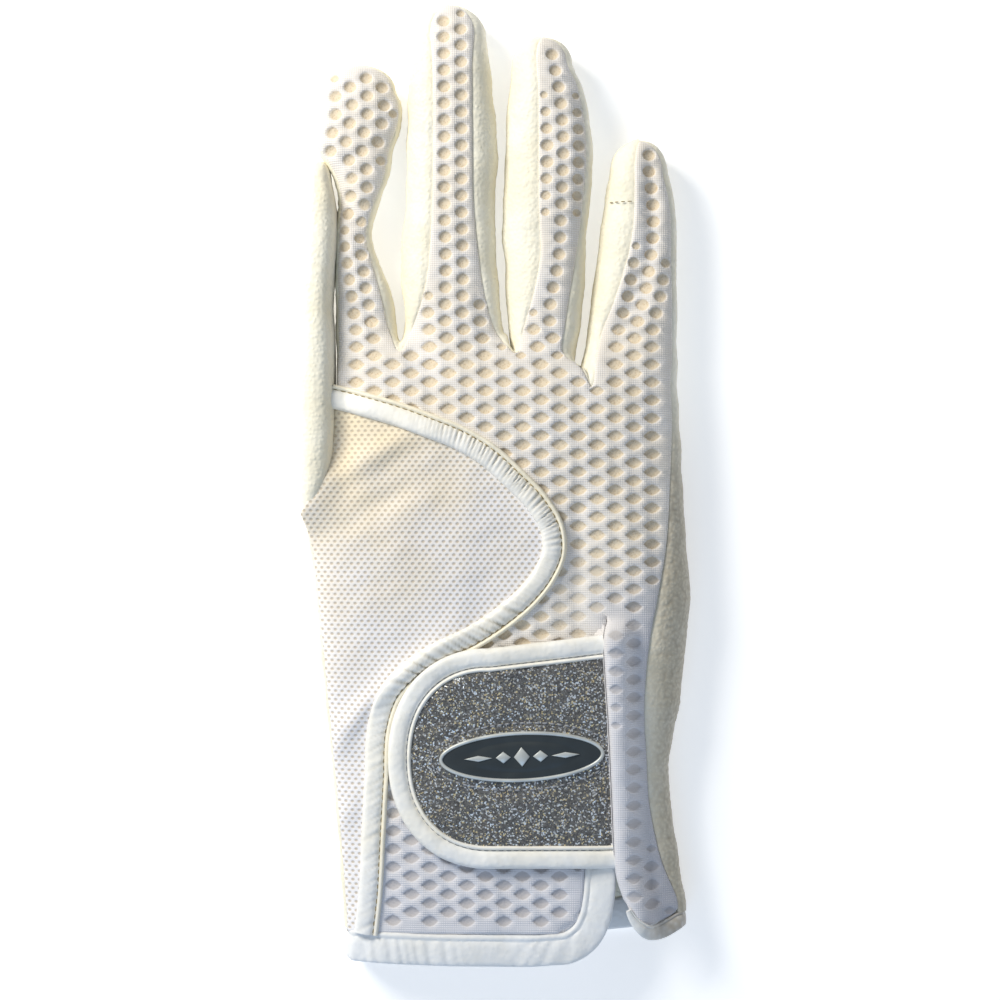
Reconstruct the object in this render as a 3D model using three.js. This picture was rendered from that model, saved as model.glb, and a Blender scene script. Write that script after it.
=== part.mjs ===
// A right-hand riding glove lying palm down, fingers towards +Y, thumb on the -X side.
// Lengths are millimetres. Tables hold shares of the named size that each column follows.
import * as THREE from 'three'

// Sizes of the hand part
const palmWidth = 88.5
const palmLength = 157
const seamLevel = 6.5
const knuckleHeight = 19
const cuffHeight = 15.5

// Walls and clearances
const backWall = 1.6
const insertWall = 1.2
const sideWall = 1.1
const palmWall = 1.4
const clearance = 0.3
const seamInset = 1.7
const palmInset = 3.2
const palmInsetShare = 0.3

// Tapes, tab and badge
const seamTapeWidth = 6.2
const seamTapeThickness = 1.3
const hemTapeWidth = 7.3
const flapTapeWidth = 3.4
const hemTapeThickness = 2.2
const gatherPitch = 6.4
const gatherDepth = 0.3
const tabWall = 1.2
const tabTapeWidth = 6
const tabTapeThickness = 2
const patchThickness = 1.3
const badgeLength = 41.8
const badgeWidth = 12.8
const badgeThickness = 1.2
const badgeRimWidth = 0.9
const badgeTilt = 2.5

// Thumb, which stands on edge along the first finger
const thumbWidth = 9.2
const thumbHeight = 19
const thumbLength = 90.5
const thumbWall = 1.2
const thumbX = -45.4
const thumbRootY = 114.8

// Splits a table into rows whose values go by the names of its columns
function table(columns, rows) {
  return rows.map((row) => Object.fromEntries(columns.map((name, i) => [name, row[i]])))
}

// Reads one column of a table smoothly between its rows
function follow(rows, key, column, at) {
  const last = rows.length - 1
  const place = THREE.MathUtils.clamp(at, rows[0][key], rows[last][key])
  let i = 0
  while (i < last - 1 && place > rows[i + 1][key]) i += 1
  const slopeAt = (j) => {
    const before = rows[Math.max(j - 1, 0)]
    const after = rows[Math.min(j + 1, last)]
    return (after[column] - before[column]) / (after[key] - before[key])
  }
  const span = rows[i + 1][key] - rows[i][key]
  const t = (place - rows[i][key]) / span
  const rise = 3 * t * t - 2 * t * t * t
  return rows[i][column] * (1 - rise) + rows[i + 1][column] * rise
    + span * (t * (1 - t) * (1 - t) * slopeAt(i) - t * t * (1 - t) * slopeAt(i + 1))
}

// The four fingers: left and right are the silhouette, the back columns the edges of the mesh strip
const fingerColumns = ['along', 'left', 'right', 'backLeft', 'backRight']
const fingers = [
  {
    name: 'index', rootX: -33.1, rootY: 157.1, length: 72.9, width: 21.9, crown: 13.5,
    rows: table(fingerColumns, [
      [0, -0.3, 0.37, -0.28, 0.36],
      [0.09, -0.3, 0.34, -0.28, 0.26],
      [0.16, -0.31, 0.33, -0.28, 0.21],
      [0.27, -0.31, 0.19, -0.28, 0.12],
      [0.39, -0.29, 0.06, -0.26, 0.02],
      [0.51, -0.25, 0.14, -0.23, 0.12],
      [0.58, -0.31, 0.23, -0.29, 0.21],
      [0.64, -0.45, 0.28, -0.43, 0.26],
      [0.7, -0.59, 0.31, -0.57, 0.29],
      [0.76, -0.6, 0.38, -0.57, 0.36],
      [0.84, -0.56, 0.42, -0.53, 0.4],
      [0.91, -0.52, 0.34, -0.5, 0.32],
    ]),
  },
  {
    name: 'middle', rootX: -11.2, rootY: 157.1, length: 88.2, width: 23.5, crown: 15.5,
    rows: table(fingerColumns, [
      [0, -0.52, 0.58, -0.5, 0.56],
      [0.08, -0.53, 0.55, -0.43, 0.45],
      [0.14, -0.53, 0.52, -0.33, 0.38],
      [0.24, -0.57, 0.49, -0.26, 0.32],
      [0.42, -0.51, 0.47, -0.22, 0.25],
      [0.57, -0.5, 0.5, -0.21, 0.24],
      [0.83, -0.46, 0.41, -0.22, 0.24],
      [0.91, -0.4, 0.37, -0.25, 0.26],
    ]),
  },
  {
    name: 'ring', rootX: 13.3, rootY: 157.3, length: 79.6, width: 22.4, crown: 15.5,
    rows: table(fingerColumns, [
      [0, -0.42, 0.33, -0.36, 0.18],
      [0.08, -0.45, 0.39, -0.27, 0.22],
      [0.14, -0.47, 0.41, -0.2, 0.25],
      [0.27, -0.49, 0.44, -0.09, 0.33],
      [0.34, -0.52, 0.44, -0.09, 0.37],
      [0.46, -0.51, 0.49, -0.11, 0.42],
      [0.62, -0.48, 0.52, -0.11, 0.46],
      [0.75, -0.47, 0.48, -0.11, 0.42],
      [0.85, -0.43, 0.39, -0.12, 0.34],
      [0.92, -0.4, 0.28, -0.14, 0.24],
    ]),
  },
  {
    name: 'little', rootX: 35.2, rootY: 147.1, length: 63.5, width: 20.4, crown: 14.5,
    rows: table(fingerColumns, [
      [0, -0.66, 0.56, -0.52, 0.5],
      [0.09, -0.65, 0.56, -0.49, 0.5],
      [0.22, -0.57, 0.56, -0.42, 0.5],
      [0.34, -0.53, 0.56, -0.26, 0.5],
      [0.5, -0.46, 0.55, -0.1, 0.5],
      [0.62, -0.41, 0.55, -0.02, 0.5],
      [0.74, -0.36, 0.53, 0.01, 0.46],
      [0.86, -0.3, 0.45, 0, 0.38],
    ]),
  },
]
const [index, middle, ring, little] = fingers

// Hand outline seen from above, from the hem (0) to the knuckles (1), x from the middle line
const rightSide = table(['up', 'edge', 'mesh'], [
  [0.07, 0.553, 0.53],
  [0.1, 0.55, 0.53],
  [0.17, 0.53, 0.48],
  [0.26, 0.508, 0.446],
  [0.33, 0.505, 0.438],
  [0.42, 0.534, 0.43],
  [0.52, 0.553, 0.444],
  [0.6, 0.565, 0.47],
  [0.68, 0.554, 0.494],
  [0.8, 0.541, 0.507],
  [0.88, 0.533, 0.512],
  [0.94, 0.527, 0.51],
])
const leftSide = table(['up', 'edge'], [
  [0, -0.434],
  [0.1, -0.444],
  [0.2, -0.457],
  [0.33, -0.478],
  [0.46, -0.501],
  [0.57, -0.519],
  [0.67, -0.539],
  [0.73, -0.556],
])
const upperLeftEdge = -0.455
const thumbSeamTop = 0.84
const thumbSeamFoot = 0.73

// Middle line of the tape over the seam between the fine insert and the back, from the top
const seamPath = table(['across', 'up'], [
  [-0.428, 0.915],
  [-0.378, 0.907],
  [-0.277, 0.89],
  [-0.19, 0.872],
  [-0.098, 0.851],
  [-0.017, 0.823],
  [0.055, 0.786],
  [0.121, 0.747],
  [0.164, 0.701],
  [0.167, 0.669],
  [0.141, 0.633],
  [0.098, 0.601],
  [0.026, 0.565],
  [-0.061, 0.532],
  [-0.161, 0.505],
  [-0.239, 0.477],
  [-0.3, 0.44],
  [-0.331, 0.39],
  [-0.342, 0.3],
  [-0.352, 0.2],
  [-0.36, 0.117],
  [-0.372, 0.056],
])

// Folded edge of the wrist flap, which is also the right border of the slit
const flapEdge = table(['up', 'edge'], [
  [0.09, 0.378],
  [0.13, 0.352],
  [0.16, 0.34],
  [0.26, 0.331],
  [0.39, 0.32],
  [0.49, 0.308],
  [0.534, 0.306],
  [0.565, 0.317],
])
const slitTop = 0.565
const flapLift = 5
const flapRoll = 3.5
const flapReach = 9.5
const flapRise = 5

// Notches of the back between the fingers, and the webs in front of them
const crotches = table(['notchX', 'notchUp', 'webX', 'webUp', 'landX', 'landUp'], [
  [-0.277, 0.995, -0.276, 1.012, -0.276, 1.012],
  [0.032, 1.005, 0.033, 1.022, 0.033, 1.022],
  [0.271, 0.937, 0.238, 0.966, 0.229, 0.971],
])
const knuckleUp = 0.925
const indexRootUp = 0.99
const littleRootUp = 0.94

// Folds and dents: positive depths stand up, negative ones are creases
const folds = table(['fromX', 'fromUp', 'toX', 'toUp', 'depth', 'width'], [
  [-0.475, 1.27, -0.378, 1.18, -2.2, 3.2],
  [-0.455, 1.083, -0.32, 1.026, -1.4, 2.6],
  [0.445, 1.31, 0.446, 1.17, -1.8, 2.2],
  [0.446, 1.17, 0.372, 1.02, -1.6, 2.4],
  [-0.458, 0.79, -0.262, 0.852, 1.2, 3.2],
  [-0.435, 0.393, -0.104, 0.547, 1, 3.4],
  [0.228, 0.766, 0.294, 0.523, -1.3, 4.2],
  [-0.27, 1.11, -0.17, 0.9, -1, 3.6],
  [0.36, 0.77, 0.42, 0.62, 0.9, 5],
])

// Height that the base of the thumb lifts the hand by
const thumbBump = { across: -0.52, up: 0.785, height: 10.5, reach: 13 }

const acrossHand = (share) => share * palmWidth
const upHand = (share) => share * palmLength
const smoothStep = THREE.MathUtils.smoothstep

// Highest finger row, after which the tip closes in a quarter ellipse
function lastAlong(finger) {
  return finger.rows[finger.rows.length - 1].along
}

function fingerColumn(finger, column, along) {
  return finger.rootX + finger.width * follow(finger.rows, 'along', column, along)
}

// Outline of a finger at a share of its length: its middle and half width
function fingerSpan(finger, along) {
  const held = Math.min(along, lastAlong(finger))
  const left = fingerColumn(finger, 'left', held)
  const right = fingerColumn(finger, 'right', held)
  const past = THREE.MathUtils.clamp((along - held) / (1 - lastAlong(finger)), 0, 1)
  return { middle: (left + right) / 2, half: (right - left) / 2 * Math.sqrt(1 - past * past) }
}

function handLeft(up) {
  if (up > thumbSeamTop) return acrossHand(upperLeftEdge)
  if (up < thumbSeamFoot) return acrossHand(follow(leftSide, 'up', 'edge', up))
  const foot = follow(leftSide, 'up', 'edge', thumbSeamFoot)
  const rise = (up - thumbSeamFoot) / (thumbSeamTop - thumbSeamFoot)
  return acrossHand(foot + (upperLeftEdge - foot) * Math.sin(rise * Math.PI / 2))
}

function handRight(up) {
  return acrossHand(follow(rightSide, 'up', 'edge', up))
}

function meshRight(up) {
  return Math.min(acrossHand(follow(rightSide, 'up', 'mesh', up)), handRight(up) - seamInset)
}

// Rounded section: full height in the middle, seam level at the edge
function crownAt(offset, roundness) {
  const q = Math.min(Math.abs(offset), 1)
  return Math.pow(1 - Math.pow(q, roundness), 1 / roundness)
}

const fingerRoundness = 2.4
const handRoundness = 3
const knuckleRun = 0.36
const frontReach = 27
const frontUp = 1.04

function fingerHeight(finger, x, y) {
  const along = (y - finger.rootY) / finger.length
  if (along < -knuckleRun || along > 1) return 0
  const { middle: centre, half } = fingerSpan(finger, along)
  if (half <= 0) return 0
  const into = along < 0 ? 1 - Math.pow(along / knuckleRun, 2) : 1
  const tipStart = 0.78
  const tip = along > tipStart ? Math.sqrt(1 - 0.75 * Math.pow((along - tipStart) / (1 - tipStart), 2)) : 1
  const rise = (finger.crown - seamLevel) * crownAt((x - centre) / half, fingerRoundness)
  return seamLevel + rise * tip * into + (1 - into) * 2
}

function handHeight(x, y) {
  const up = y / palmLength
  const left = handLeft(up)
  const right = handRight(Math.min(up, 0.94))
  const centre = (left + right) / 2
  const crown = cuffHeight + (knuckleHeight - cuffHeight) * smoothStep(up, 0.15, 0.75)
  const past = Math.max(0, (y - (upHand(frontUp) - frontReach)) / frontReach)
  const front = past < 1 ? Math.sqrt(1 - past * past) : 0
  return seamLevel + (crown - seamLevel) * front * crownAt((x - centre) / ((right - left) / 2), handRoundness)
}

function foldHeight(x, y) {
  let sum = 0
  for (const fold of folds) {
    const from = new THREE.Vector2(acrossHand(fold.fromX), upHand(fold.fromUp))
    const run = new THREE.Vector2(acrossHand(fold.toX), upHand(fold.toUp)).sub(from)
    const point = new THREE.Vector2(x, y).sub(from)
    const along = point.dot(run) / run.lengthSq()
    const held = THREE.MathUtils.clamp(along, 0, 1)
    const away = point.sub(run.clone().multiplyScalar(held)).length()
    const fade = 0.35 + 0.65 * Math.sin(Math.PI * THREE.MathUtils.clamp(held, 0.05, 0.95))
    sum += fold.depth * fade * Math.exp(-Math.pow(away / fold.width, 2))
  }
  return sum
}

const blend = 1.1

// Outer face of the glove's upper side at a point seen from above
function topAt(x, y) {
  const bumpX = x - acrossHand(thumbBump.across)
  const bumpY = y - upHand(thumbBump.up)
  const spread = (bumpX * bumpX + bumpY * bumpY) / (thumbBump.reach * thumbBump.reach)
  const levels = [handHeight(x, y), ...fingers.map((finger) => fingerHeight(finger, x, y))]
  levels.push(seamLevel + thumbBump.height * Math.exp(-spread))
  const sum = levels.reduce((total, level) => total + Math.exp(level / blend), 0)
  return blend * Math.log(sum) + foldHeight(x, y)
}

// The flap rises over the tab that is sewn under it
function flapTopAt(x, y) {
  const up = y / palmLength
  const from = x - acrossHand(follow(flapEdge, 'up', 'edge', up))
  const open = smoothStep(upHand(slitTop) - y, 0, flapRise)
  return topAt(x, y) + flapLift * open * (1 - smoothStep(from, flapRoll, flapReach))
}

// Depth below a top point that leaves a wall of one thickness on a slope
function wallDrop(surface, x, y, wall) {
  const step = 0.4
  const slopeX = (surface(x + step, y) - surface(x - step, y)) / (2 * step)
  const slopeY = (surface(x, y + step) - surface(x, y - step)) / (2 * step)
  return wall * Math.min(Math.sqrt(1 + slopeX * slopeX + slopeY * slopeY), 1.7)
}

// Closes patches of paired outer and inner points into one solid: both faces and a wall round each edge
function shell(patches) {
  const outer = []
  const inner = []
  const known = new Map()
  const faces = []
  const indexOf = (pair) => {
    const key = pair.outer.toArray().map((value) => Math.round(value * 1e4)).join()
    if (!known.has(key)) {
      known.set(key, outer.length)
      outer.push(pair.outer)
      inner.push(pair.inner)
    }
    return known.get(key)
  }
  const addFace = (a, b, c) => {
    if (a !== b && b !== c && c !== a) faces.push([a, b, c])
  }
  for (const rows of patches) {
    const grid = rows.map((row) => row.map(indexOf))
    for (let i = 0; i + 1 < grid.length; i += 1) {
      for (let j = 0; j + 1 < grid[i].length; j += 1) {
        addFace(grid[i][j], grid[i][j + 1], grid[i + 1][j + 1])
        addFace(grid[i][j], grid[i + 1][j + 1], grid[i + 1][j])
      }
    }
  }
  const count = outer.length
  const edges = new Set(faces.flatMap(([a, b, c]) => [`${a},${b}`, `${b},${c}`, `${c},${a}`]))
  const triangles = []
  for (const [a, b, c] of faces) {
    triangles.push([a, b, c], [c + count, b + count, a + count])
    for (const [from, to] of [[a, b], [b, c], [c, a]]) {
      if (edges.has(`${to},${from}`)) continue
      triangles.push([to, from, from + count], [to, from + count, to + count])
    }
  }
  const points = [...outer, ...inner]
  const volume = triangles.reduce((sum, [a, b, c]) => {
    return sum + points[a].dot(new THREE.Vector3().crossVectors(points[b], points[c]))
  }, 0)
  const ordered = volume > 0 ? triangles : triangles.map(([a, b, c]) => [a, c, b])
  const geometry = new THREE.BufferGeometry()
  geometry.setAttribute('position', new THREE.Float32BufferAttribute(points.flatMap((p) => p.toArray()), 3))
  geometry.setIndex(ordered.flat())
  geometry.computeVertexNormals()
  return geometry
}

// A point of a sheet that follows a surface, raised by a height, with its wall below
function onSurface(surface, x, y, wall, raise = 0) {
  const z = surface(x, y) + raise
  const drop = wallDrop(surface, x, y, wall)
  return { outer: new THREE.Vector3(x, y, z), inner: new THREE.Vector3(x, y, z - drop) }
}

// A row of sheet points between two ends, at the given shares of the way
function rowBetween(surface, from, to, shares, wall, raise = 0) {
  return shares.map((share) => {
    const point = from.clone().lerp(to, share)
    return onSurface(surface, point.x, point.y, wall, raise)
  })
}

const evenShares = (count) => Array.from({ length: count + 1 }, (_, i) => i / count)
const point2 = (x, y) => new THREE.Vector2(x, y)

// Silhouette, back edge and palm edge of one side of a finger at a share of its length
function fingerStation(finger, side, along) {
  const sign = side === 'left' ? -1 : 1
  const y = finger.rootY + finger.length * along
  const edge = fingerColumn(finger, side, along)
  const seam = fingerColumn(finger, side === 'left' ? 'backLeft' : 'backRight', along)
  const seamHeld = sign > 0 ? Math.min(seam, edge - seamInset) : Math.max(seam, edge + seamInset)
  const inset = Math.min(palmInset, palmInsetShare * 2 * fingerSpan(finger, along).half)
  return { edge: point2(edge, y), seam: point2(seamHeld, y), palm: point2(edge - sign * inset, y) }
}

// The same three points on the quarter ellipse that closes a finger's tip
function tipStation(finger, side, turn) {
  const sign = side === 'left' ? -1 : 1
  const from = lastAlong(finger)
  const reach = finger.length * (1 - from)
  const start = fingerStation(finger, side, from)
  const { middle: centre } = fingerSpan(finger, from)
  const around = (key, inset) => {
    const half = sign * (start[key].x - centre)
    const y = start[key].y + (reach - inset) * Math.sin(turn)
    return point2(centre + sign * Math.max(half * Math.cos(turn), clearance / 2), y)
  }
  return { edge: around('edge', 0), seam: around('seam', seamInset), palm: around('palm', palmInset) }
}

const tipTurns = [0.35, 0.75, 1.1, 1.38, Math.PI / 2]

function fingerAlongs(finger, first) {
  const steps = finger.name === 'index' ? 10 : 7
  const last = lastAlong(finger)
  return evenShares(steps).map((share) => first + (last - first) * share)
}

// All stations of one side of a finger from its root to its tip
function fingerSide(finger, side, first) {
  const shaft = fingerAlongs(finger, first).map((along) => fingerStation(finger, side, along))
  return [...shaft, ...tipTurns.map((turn) => tipStation(finger, side, turn))]
}

// Moves the seam point of a side wall off the back sheet by the clearance
function clearOfBack(station) {
  const away = station.edge.clone().sub(station.seam)
  return { ...station, seam: station.seam.clone().add(away.setLength(clearance)) }
}

const upperTurns = [0, 0.5, 1]
const lowerTurns = [0, 0.5, 1.05, Math.PI / 2]

// One section of a side wall: from the back edge, round the silhouette, to the palm
function sideSection(station, surface, wall) {
  const { edge, seam, palm } = clearOfBack(station)
  const top = surface(seam.x, seam.y)
  const inward = palm.clone().sub(edge)
  const innerEdge = edge.clone().add(inward.clone().setLength(wall))
  const section = []
  for (const turn of upperTurns) {
    const outer = seam.clone().lerp(edge, Math.sin(turn))
    const inner = seam.clone().lerp(innerEdge, Math.sin(turn))
    const outerZ = seamLevel + (top - seamLevel) * Math.cos(turn)
    const innerZ = seamLevel + (top - wall - seamLevel) * Math.cos(turn)
    section.push({
      outer: new THREE.Vector3(outer.x, outer.y, outerZ),
      inner: new THREE.Vector3(inner.x, inner.y, innerZ),
    })
  }
  for (const turn of lowerTurns) {
    const outer = edge.clone().lerp(palm, 1 - Math.cos(turn))
    const inner = innerEdge.clone().lerp(palm, 1 - Math.cos(turn))
    section.push({
      outer: new THREE.Vector3(outer.x, outer.y, seamLevel * (1 - Math.sin(turn))),
      inner: new THREE.Vector3(inner.x, inner.y, wall + (seamLevel - wall) * (1 - Math.sin(turn))),
    })
  }
  return section
}

function sideWallSolid(stations, surface = topAt) {
  return shell([stations.map((station) => sideSection(station, surface, sideWall))])
}

const firstAlongs = { index: 0.05, middle: 0.05, ring: -0.02, little: 0.1 }

function crotchStations(crotch) {
  const seam = point2(acrossHand(crotch.notchX), upHand(crotch.notchUp))
  const web = point2(acrossHand(crotch.webX), upHand(crotch.webUp))
  const land = point2(acrossHand(crotch.landX), upHand(crotch.landUp))
  const down = point2(0, -palmInset)
  const stations = [{ edge: web, seam, palm: web.clone().add(down) }]
  if (land.distanceTo(web) > clearance) {
    const between = seam.clone().lerp(land, 0.55).addScalar(2 * clearance)
    stations.unshift({ edge: land, seam: between, palm: land.clone().add(down) })
  }
  return stations
}

// A fourchette: down one finger's right side, round the web and up the next finger's left side
function fourchette(leftFinger, rightFinger, crotch) {
  const down = fingerSide(leftFinger, 'right', firstAlongs[leftFinger.name]).reverse()
  const up = fingerSide(rightFinger, 'left', firstAlongs[rightFinger.name])
  return sideWallSolid([...down, ...crotchStations(crotch), ...up])
}

const handStation = (edge, seam, y, sign) => ({
  edge: point2(edge, y),
  seam: point2(seam, y),
  palm: point2(edge - sign * palmInset, y),
})

const meshInsetLeft = 3.4
const hemUp = 0.056
const rightHemUp = 0.108
const tapeTop = 0.172

// Levels of the hand's rows, above the slit and below it
const upperLevels = evenShares(13).map((share) => knuckleUp + (slitTop - knuckleUp) * share)
const lowerLevels = [0.55, 0.53, 0.5, 0.45, 0.4, 0.34, 0.28, 0.23, tapeTop + 0.006, tapeTop - 0.002, 0.13, 0.09]

// Side of the hand beside the thumb, which runs on up the first finger
function indexSide() {
  const levels = [0.86, 0.9, knuckleUp, indexRootUp]
  const hand = levels.map((up) => {
    const edge = acrossHand(upperLeftEdge)
    return handStation(edge, edge + seamInset, upHand(up), -1)
  })
  return sideWallSolid([...hand, ...fingerSide(index, 'left', firstAlongs.index)])
}

function wristSide() {
  const levels = evenShares(9).map((share) => hemUp + (thumbSeamFoot - 0.012 - hemUp) * share)
  return sideWallSolid(levels.map((up) => {
    const edge = handLeft(up)
    return handStation(edge, edge + meshInsetLeft, upHand(up), -1)
  }))
}

function littleSide() {
  const lower = lowerLevels.filter((up) => up > rightHemUp).reverse()
  const levels = [rightHemUp, ...lower, ...upperLevels.toReversed(), littleRootUp]
  const hand = levels.map((up) => handStation(handRight(up), meshRight(up), upHand(up), 1))
  return sideWallSolid([...hand, ...fingerSide(little, 'right', firstAlongs.little)], flapTopAt)
}

// Flat leather of the palm and the undersides of the fingers
function palmOutline() {
  const inset = clearance
  const outline = []
  const addStations = (stations, sign) => {
    for (const station of stations) outline.push(point2(station.palm.x - sign * inset, station.palm.y - inset))
  }
  const hemRow = evenShares(8).map((share) => hemUp + (thumbSeamFoot - hemUp) * share)
  hemRow.forEach((up) => outline.push(point2(handLeft(up) + palmInset + inset, upHand(up))))
  for (const share of [0.2, 0.45, 0.75]) {
    const up = thumbSeamFoot + (thumbSeamTop - thumbSeamFoot) * share
    outline.push(point2(handLeft(up) + sideWall + inset, upHand(up)))
  }
  outline.push(point2(acrossHand(upperLeftEdge) + palmInset + inset, upHand(thumbSeamTop + 0.02)))
  fingers.forEach((finger, i) => {
    const left = fingerSide(finger, 'left', firstAlongs[finger.name])
    const right = fingerSide(finger, 'right', firstAlongs[finger.name])
    addStations(left.slice(0, -1), -1)
    addStations(right.slice(0, -1).reverse(), 1)
    if (i < 3) {
      const { webX, webUp, landX, landUp } = crotches[i]
      if (landX !== webX) outline.push(point2(acrossHand(landX) - inset, upHand(landUp) - palmInset - 2 * inset))
      outline.push(point2(acrossHand(webX), upHand(webUp) - palmInset - 2 * inset))
    }
  })
  const rightLevels = evenShares(12).map((share) => 0.93 - (0.93 - rightHemUp) * share)
  rightLevels.forEach((up) => outline.push(point2(handRight(up) - palmInset - inset, upHand(up))))
  return outline
}

function palmSolid() {
  return new THREE.ExtrudeGeometry(new THREE.Shape(palmOutline()), { depth: palmWall, bevelEnabled: false })
}

// Middle line of the seam tape, and its x where a level crosses it
const seamCurve = new THREE.CatmullRomCurve3(
  seamPath.map((row) => new THREE.Vector3(acrossHand(row.across), upHand(row.up), 0)),
)
const seamPoints = seamCurve.getSpacedPoints(120)

function seamX(y) {
  const i = seamPoints.findIndex((point) => point.y <= y)
  if (i <= 0) return seamPoints[0].x
  const t = (seamPoints[i - 1].y - y) / (seamPoints[i - 1].y - seamPoints[i].y)
  return seamPoints[i - 1].x + (seamPoints[i].x - seamPoints[i - 1].x) * t
}

const columnsPerFinger = 4
const slitX = (up) => acrossHand(0.271 + (0.317 - 0.271) * (knuckleUp - up) / (knuckleUp - slitTop))

// Mesh strip over one finger: its tip, its shaft, its notches and its end on the knuckle line
function fingerBackRows(finger, leftNotch, rightNotch, leftEnd, rightEnd) {
  const shares = evenShares(columnsPerFinger)
  const rows = []
  for (const turn of tipTurns.slice(0, -1).reverse()) {
    rows.push([tipStation(finger, 'left', turn).seam, tipStation(finger, 'right', turn).seam])
  }
  const first = firstAlongs[finger.name]
  for (const along of fingerAlongs(finger, first).reverse()) {
    rows.push([fingerStation(finger, 'left', along).seam, fingerStation(finger, 'right', along).seam])
  }
  rows.push([leftNotch, rightNotch], [leftEnd, rightEnd])
  return rows.map(([from, to]) => rowBetween(topAt, from, to, shares, backWall))
}

const knuckleY = upHand(knuckleUp)
const slitGap = 0.6
const cornerInset = 3.2

// Honeycomb mesh of the back: four finger strips, the hand, and the wrist with its slit
function backMesh() {
  const notches = crotches.map((crotch) => point2(acrossHand(crotch.notchX), upHand(crotch.notchUp)))
  const leftEdge = acrossHand(upperLeftEdge) + seamInset
  const rightEdge = meshRight(littleRootUp)
  const starts = [point2(leftEdge, upHand(indexRootUp)), ...notches, point2(rightEdge, upHand(littleRootUp))]
  const ends = [leftEdge, ...notches.map((notch) => notch.x), meshRight(knuckleUp)].map((x) => point2(x, knuckleY))
  const patches = fingers.map((finger, i) => {
    return fingerBackRows(finger, starts[i], starts[i + 1], ends[i], ends[i + 1])
  })
  const knuckleRow = patches.map((rows, i) => rows.at(-1).slice(i === 0 || i === 3 ? 0 : 1))
  const leftRows = [knuckleRow.slice(0, 3).flat()]
  const rightRows = [knuckleRow[3]]
  const sharesOf = (row) => row.map((pair) => {
    return (pair.outer.x - row[0].outer.x) / (row.at(-1).outer.x - row[0].outer.x)
  })
  const leftShares = sharesOf(leftRows[0])
  const rightShares = sharesOf(rightRows[0])
  const leftOf = (y) => (y > upHand(0.915) ? leftEdge : Math.max(seamX(y) + clearance, leftEdge))
  for (const up of upperLevels.slice(1)) {
    const y = upHand(up)
    const slit = point2(slitX(up), y)
    leftRows.push(rowBetween(topAt, point2(leftOf(y), y), slit, leftShares, backWall))
    rightRows.push(rowBetween(flapTopAt, slit, point2(meshRight(up), y), rightShares, backWall))
  }
  for (const up of [...lowerLevels, hemUp]) {
    const y = upHand(up)
    const held = Math.max(up, 0.1)
    const flapX = acrossHand(follow(flapEdge, 'up', 'edge', held))
    const beside = hemTapePath(up) - hemTapeWidth / 2 - (up > hemUp ? clearance : cornerInset)
    const slitLeft = up > tapeTop ? flapX - slitGap : beside
    leftRows.push(rowBetween(topAt, point2(leftOf(y), y), point2(slitLeft, y), leftShares, backWall))
    if (up < 0.1) continue
    const to = point2(meshRight(up), y)
    rightRows.push(rowBetween(flapTopAt, point2(flapX, y), to, rightShares, backWall))
  }
  rightRows.push(flapHemRow(rightShares))
  return shell([...patches, leftRows, rightRows])
}

const flapHemUp = 0.103
const flapHemDip = 2.6

// Lower edge of the flap's mesh, which hangs down in the middle
function flapHemRow(shares) {
  const from = point2(acrossHand(0.371), upHand(flapHemUp))
  const to = point2(meshRight(rightHemUp), upHand(rightHemUp))
  return shares.map((share) => {
    const place = from.clone().lerp(to, share)
    const dip = flapHemDip * (1 - Math.pow(2 * share - 1, 2))
    return onSurface(flapTopAt, place.x, place.y - dip, backWall)
  })
}

// Fine mesh insert on the thumb side, from the index seam to the hem
function meshInsert() {
  const levels = [0.886, 0.87, ...evenShares(18).map((share) => 0.85 + (hemUp - 0.85) * share)]
  return shell([levels.map((up) => {
    const y = upHand(up)
    const side = up > thumbSeamTop ? seamInset : meshInsetLeft
    const beside = up < thumbSeamTop && up > thumbSeamFoot ? clearance + 0.5 : side
    const from = point2(handLeft(up) + beside, y)
    const to = point2(Math.max(seamX(y) - clearance, from.x + 1), y)
    return rowBetween(topAt, from, to, evenShares(6), insertWall)
  })])
}

// Ribbon that lies over a surface along a flat path, gathered crosswise where a depth is given
function ribbon(path, width, thickness, raise, surface, gathers) {
  const shares = [-0.5, -0.25, 0.25, 0.5]
  return shell([path.map((place, i) => {
    const before = path[Math.max(i - 1, 0)]
    const after = path[Math.min(i + 1, path.length - 1)]
    const across = point2(before.y - after.y, after.x - before.x).normalize()
    return shares.map((share) => {
      const x = place.x + across.x * share * width
      const y = place.y + across.y * share * width
      const low = surface(x, y) + raise
      const crown = thickness * Math.sqrt(1 - 2.4 * share * share)
      const ripple = gathers * (i % 2) * (1 - 2 * Math.abs(share))
      return {
        outer: new THREE.Vector3(x, y, low + crown - ripple),
        inner: new THREE.Vector3(x, y, low),
      }
    })
  })])
}

function seamTape() {
  const steps = Math.round(seamCurve.getLength() / gatherPitch) * 2
  return ribbon(seamCurve.getSpacedPoints(steps), seamTapeWidth, seamTapeThickness, clearance, topAt, gatherDepth)
}

// Hem tape on the back: down the slit's left border, round the corner and along the hem
const hemPath = table(['across', 'up'], [
  [0.302, 0.166],
  [0.297, 0.117],
  [0.288, 0.084],
  [0.265, 0.052],
  [0.219, 0.031],
  [0.141, 0.025],
  [-0.05, 0.024],
  [-0.25, 0.026],
  [-0.4, 0.029],
])

function hemTapePath(up) {
  const rows = hemPath.slice(0, 4).reverse()
  return acrossHand(follow(rows, 'up', 'across', Math.min(up, 0.166)))
}

const flapTapePath = table(['across', 'up'], [
  [0.56, 0.083],
  [0.507, 0.061],
  [0.46, 0.051],
  [0.42, 0.061],
  [0.389, 0.081],
])

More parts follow.
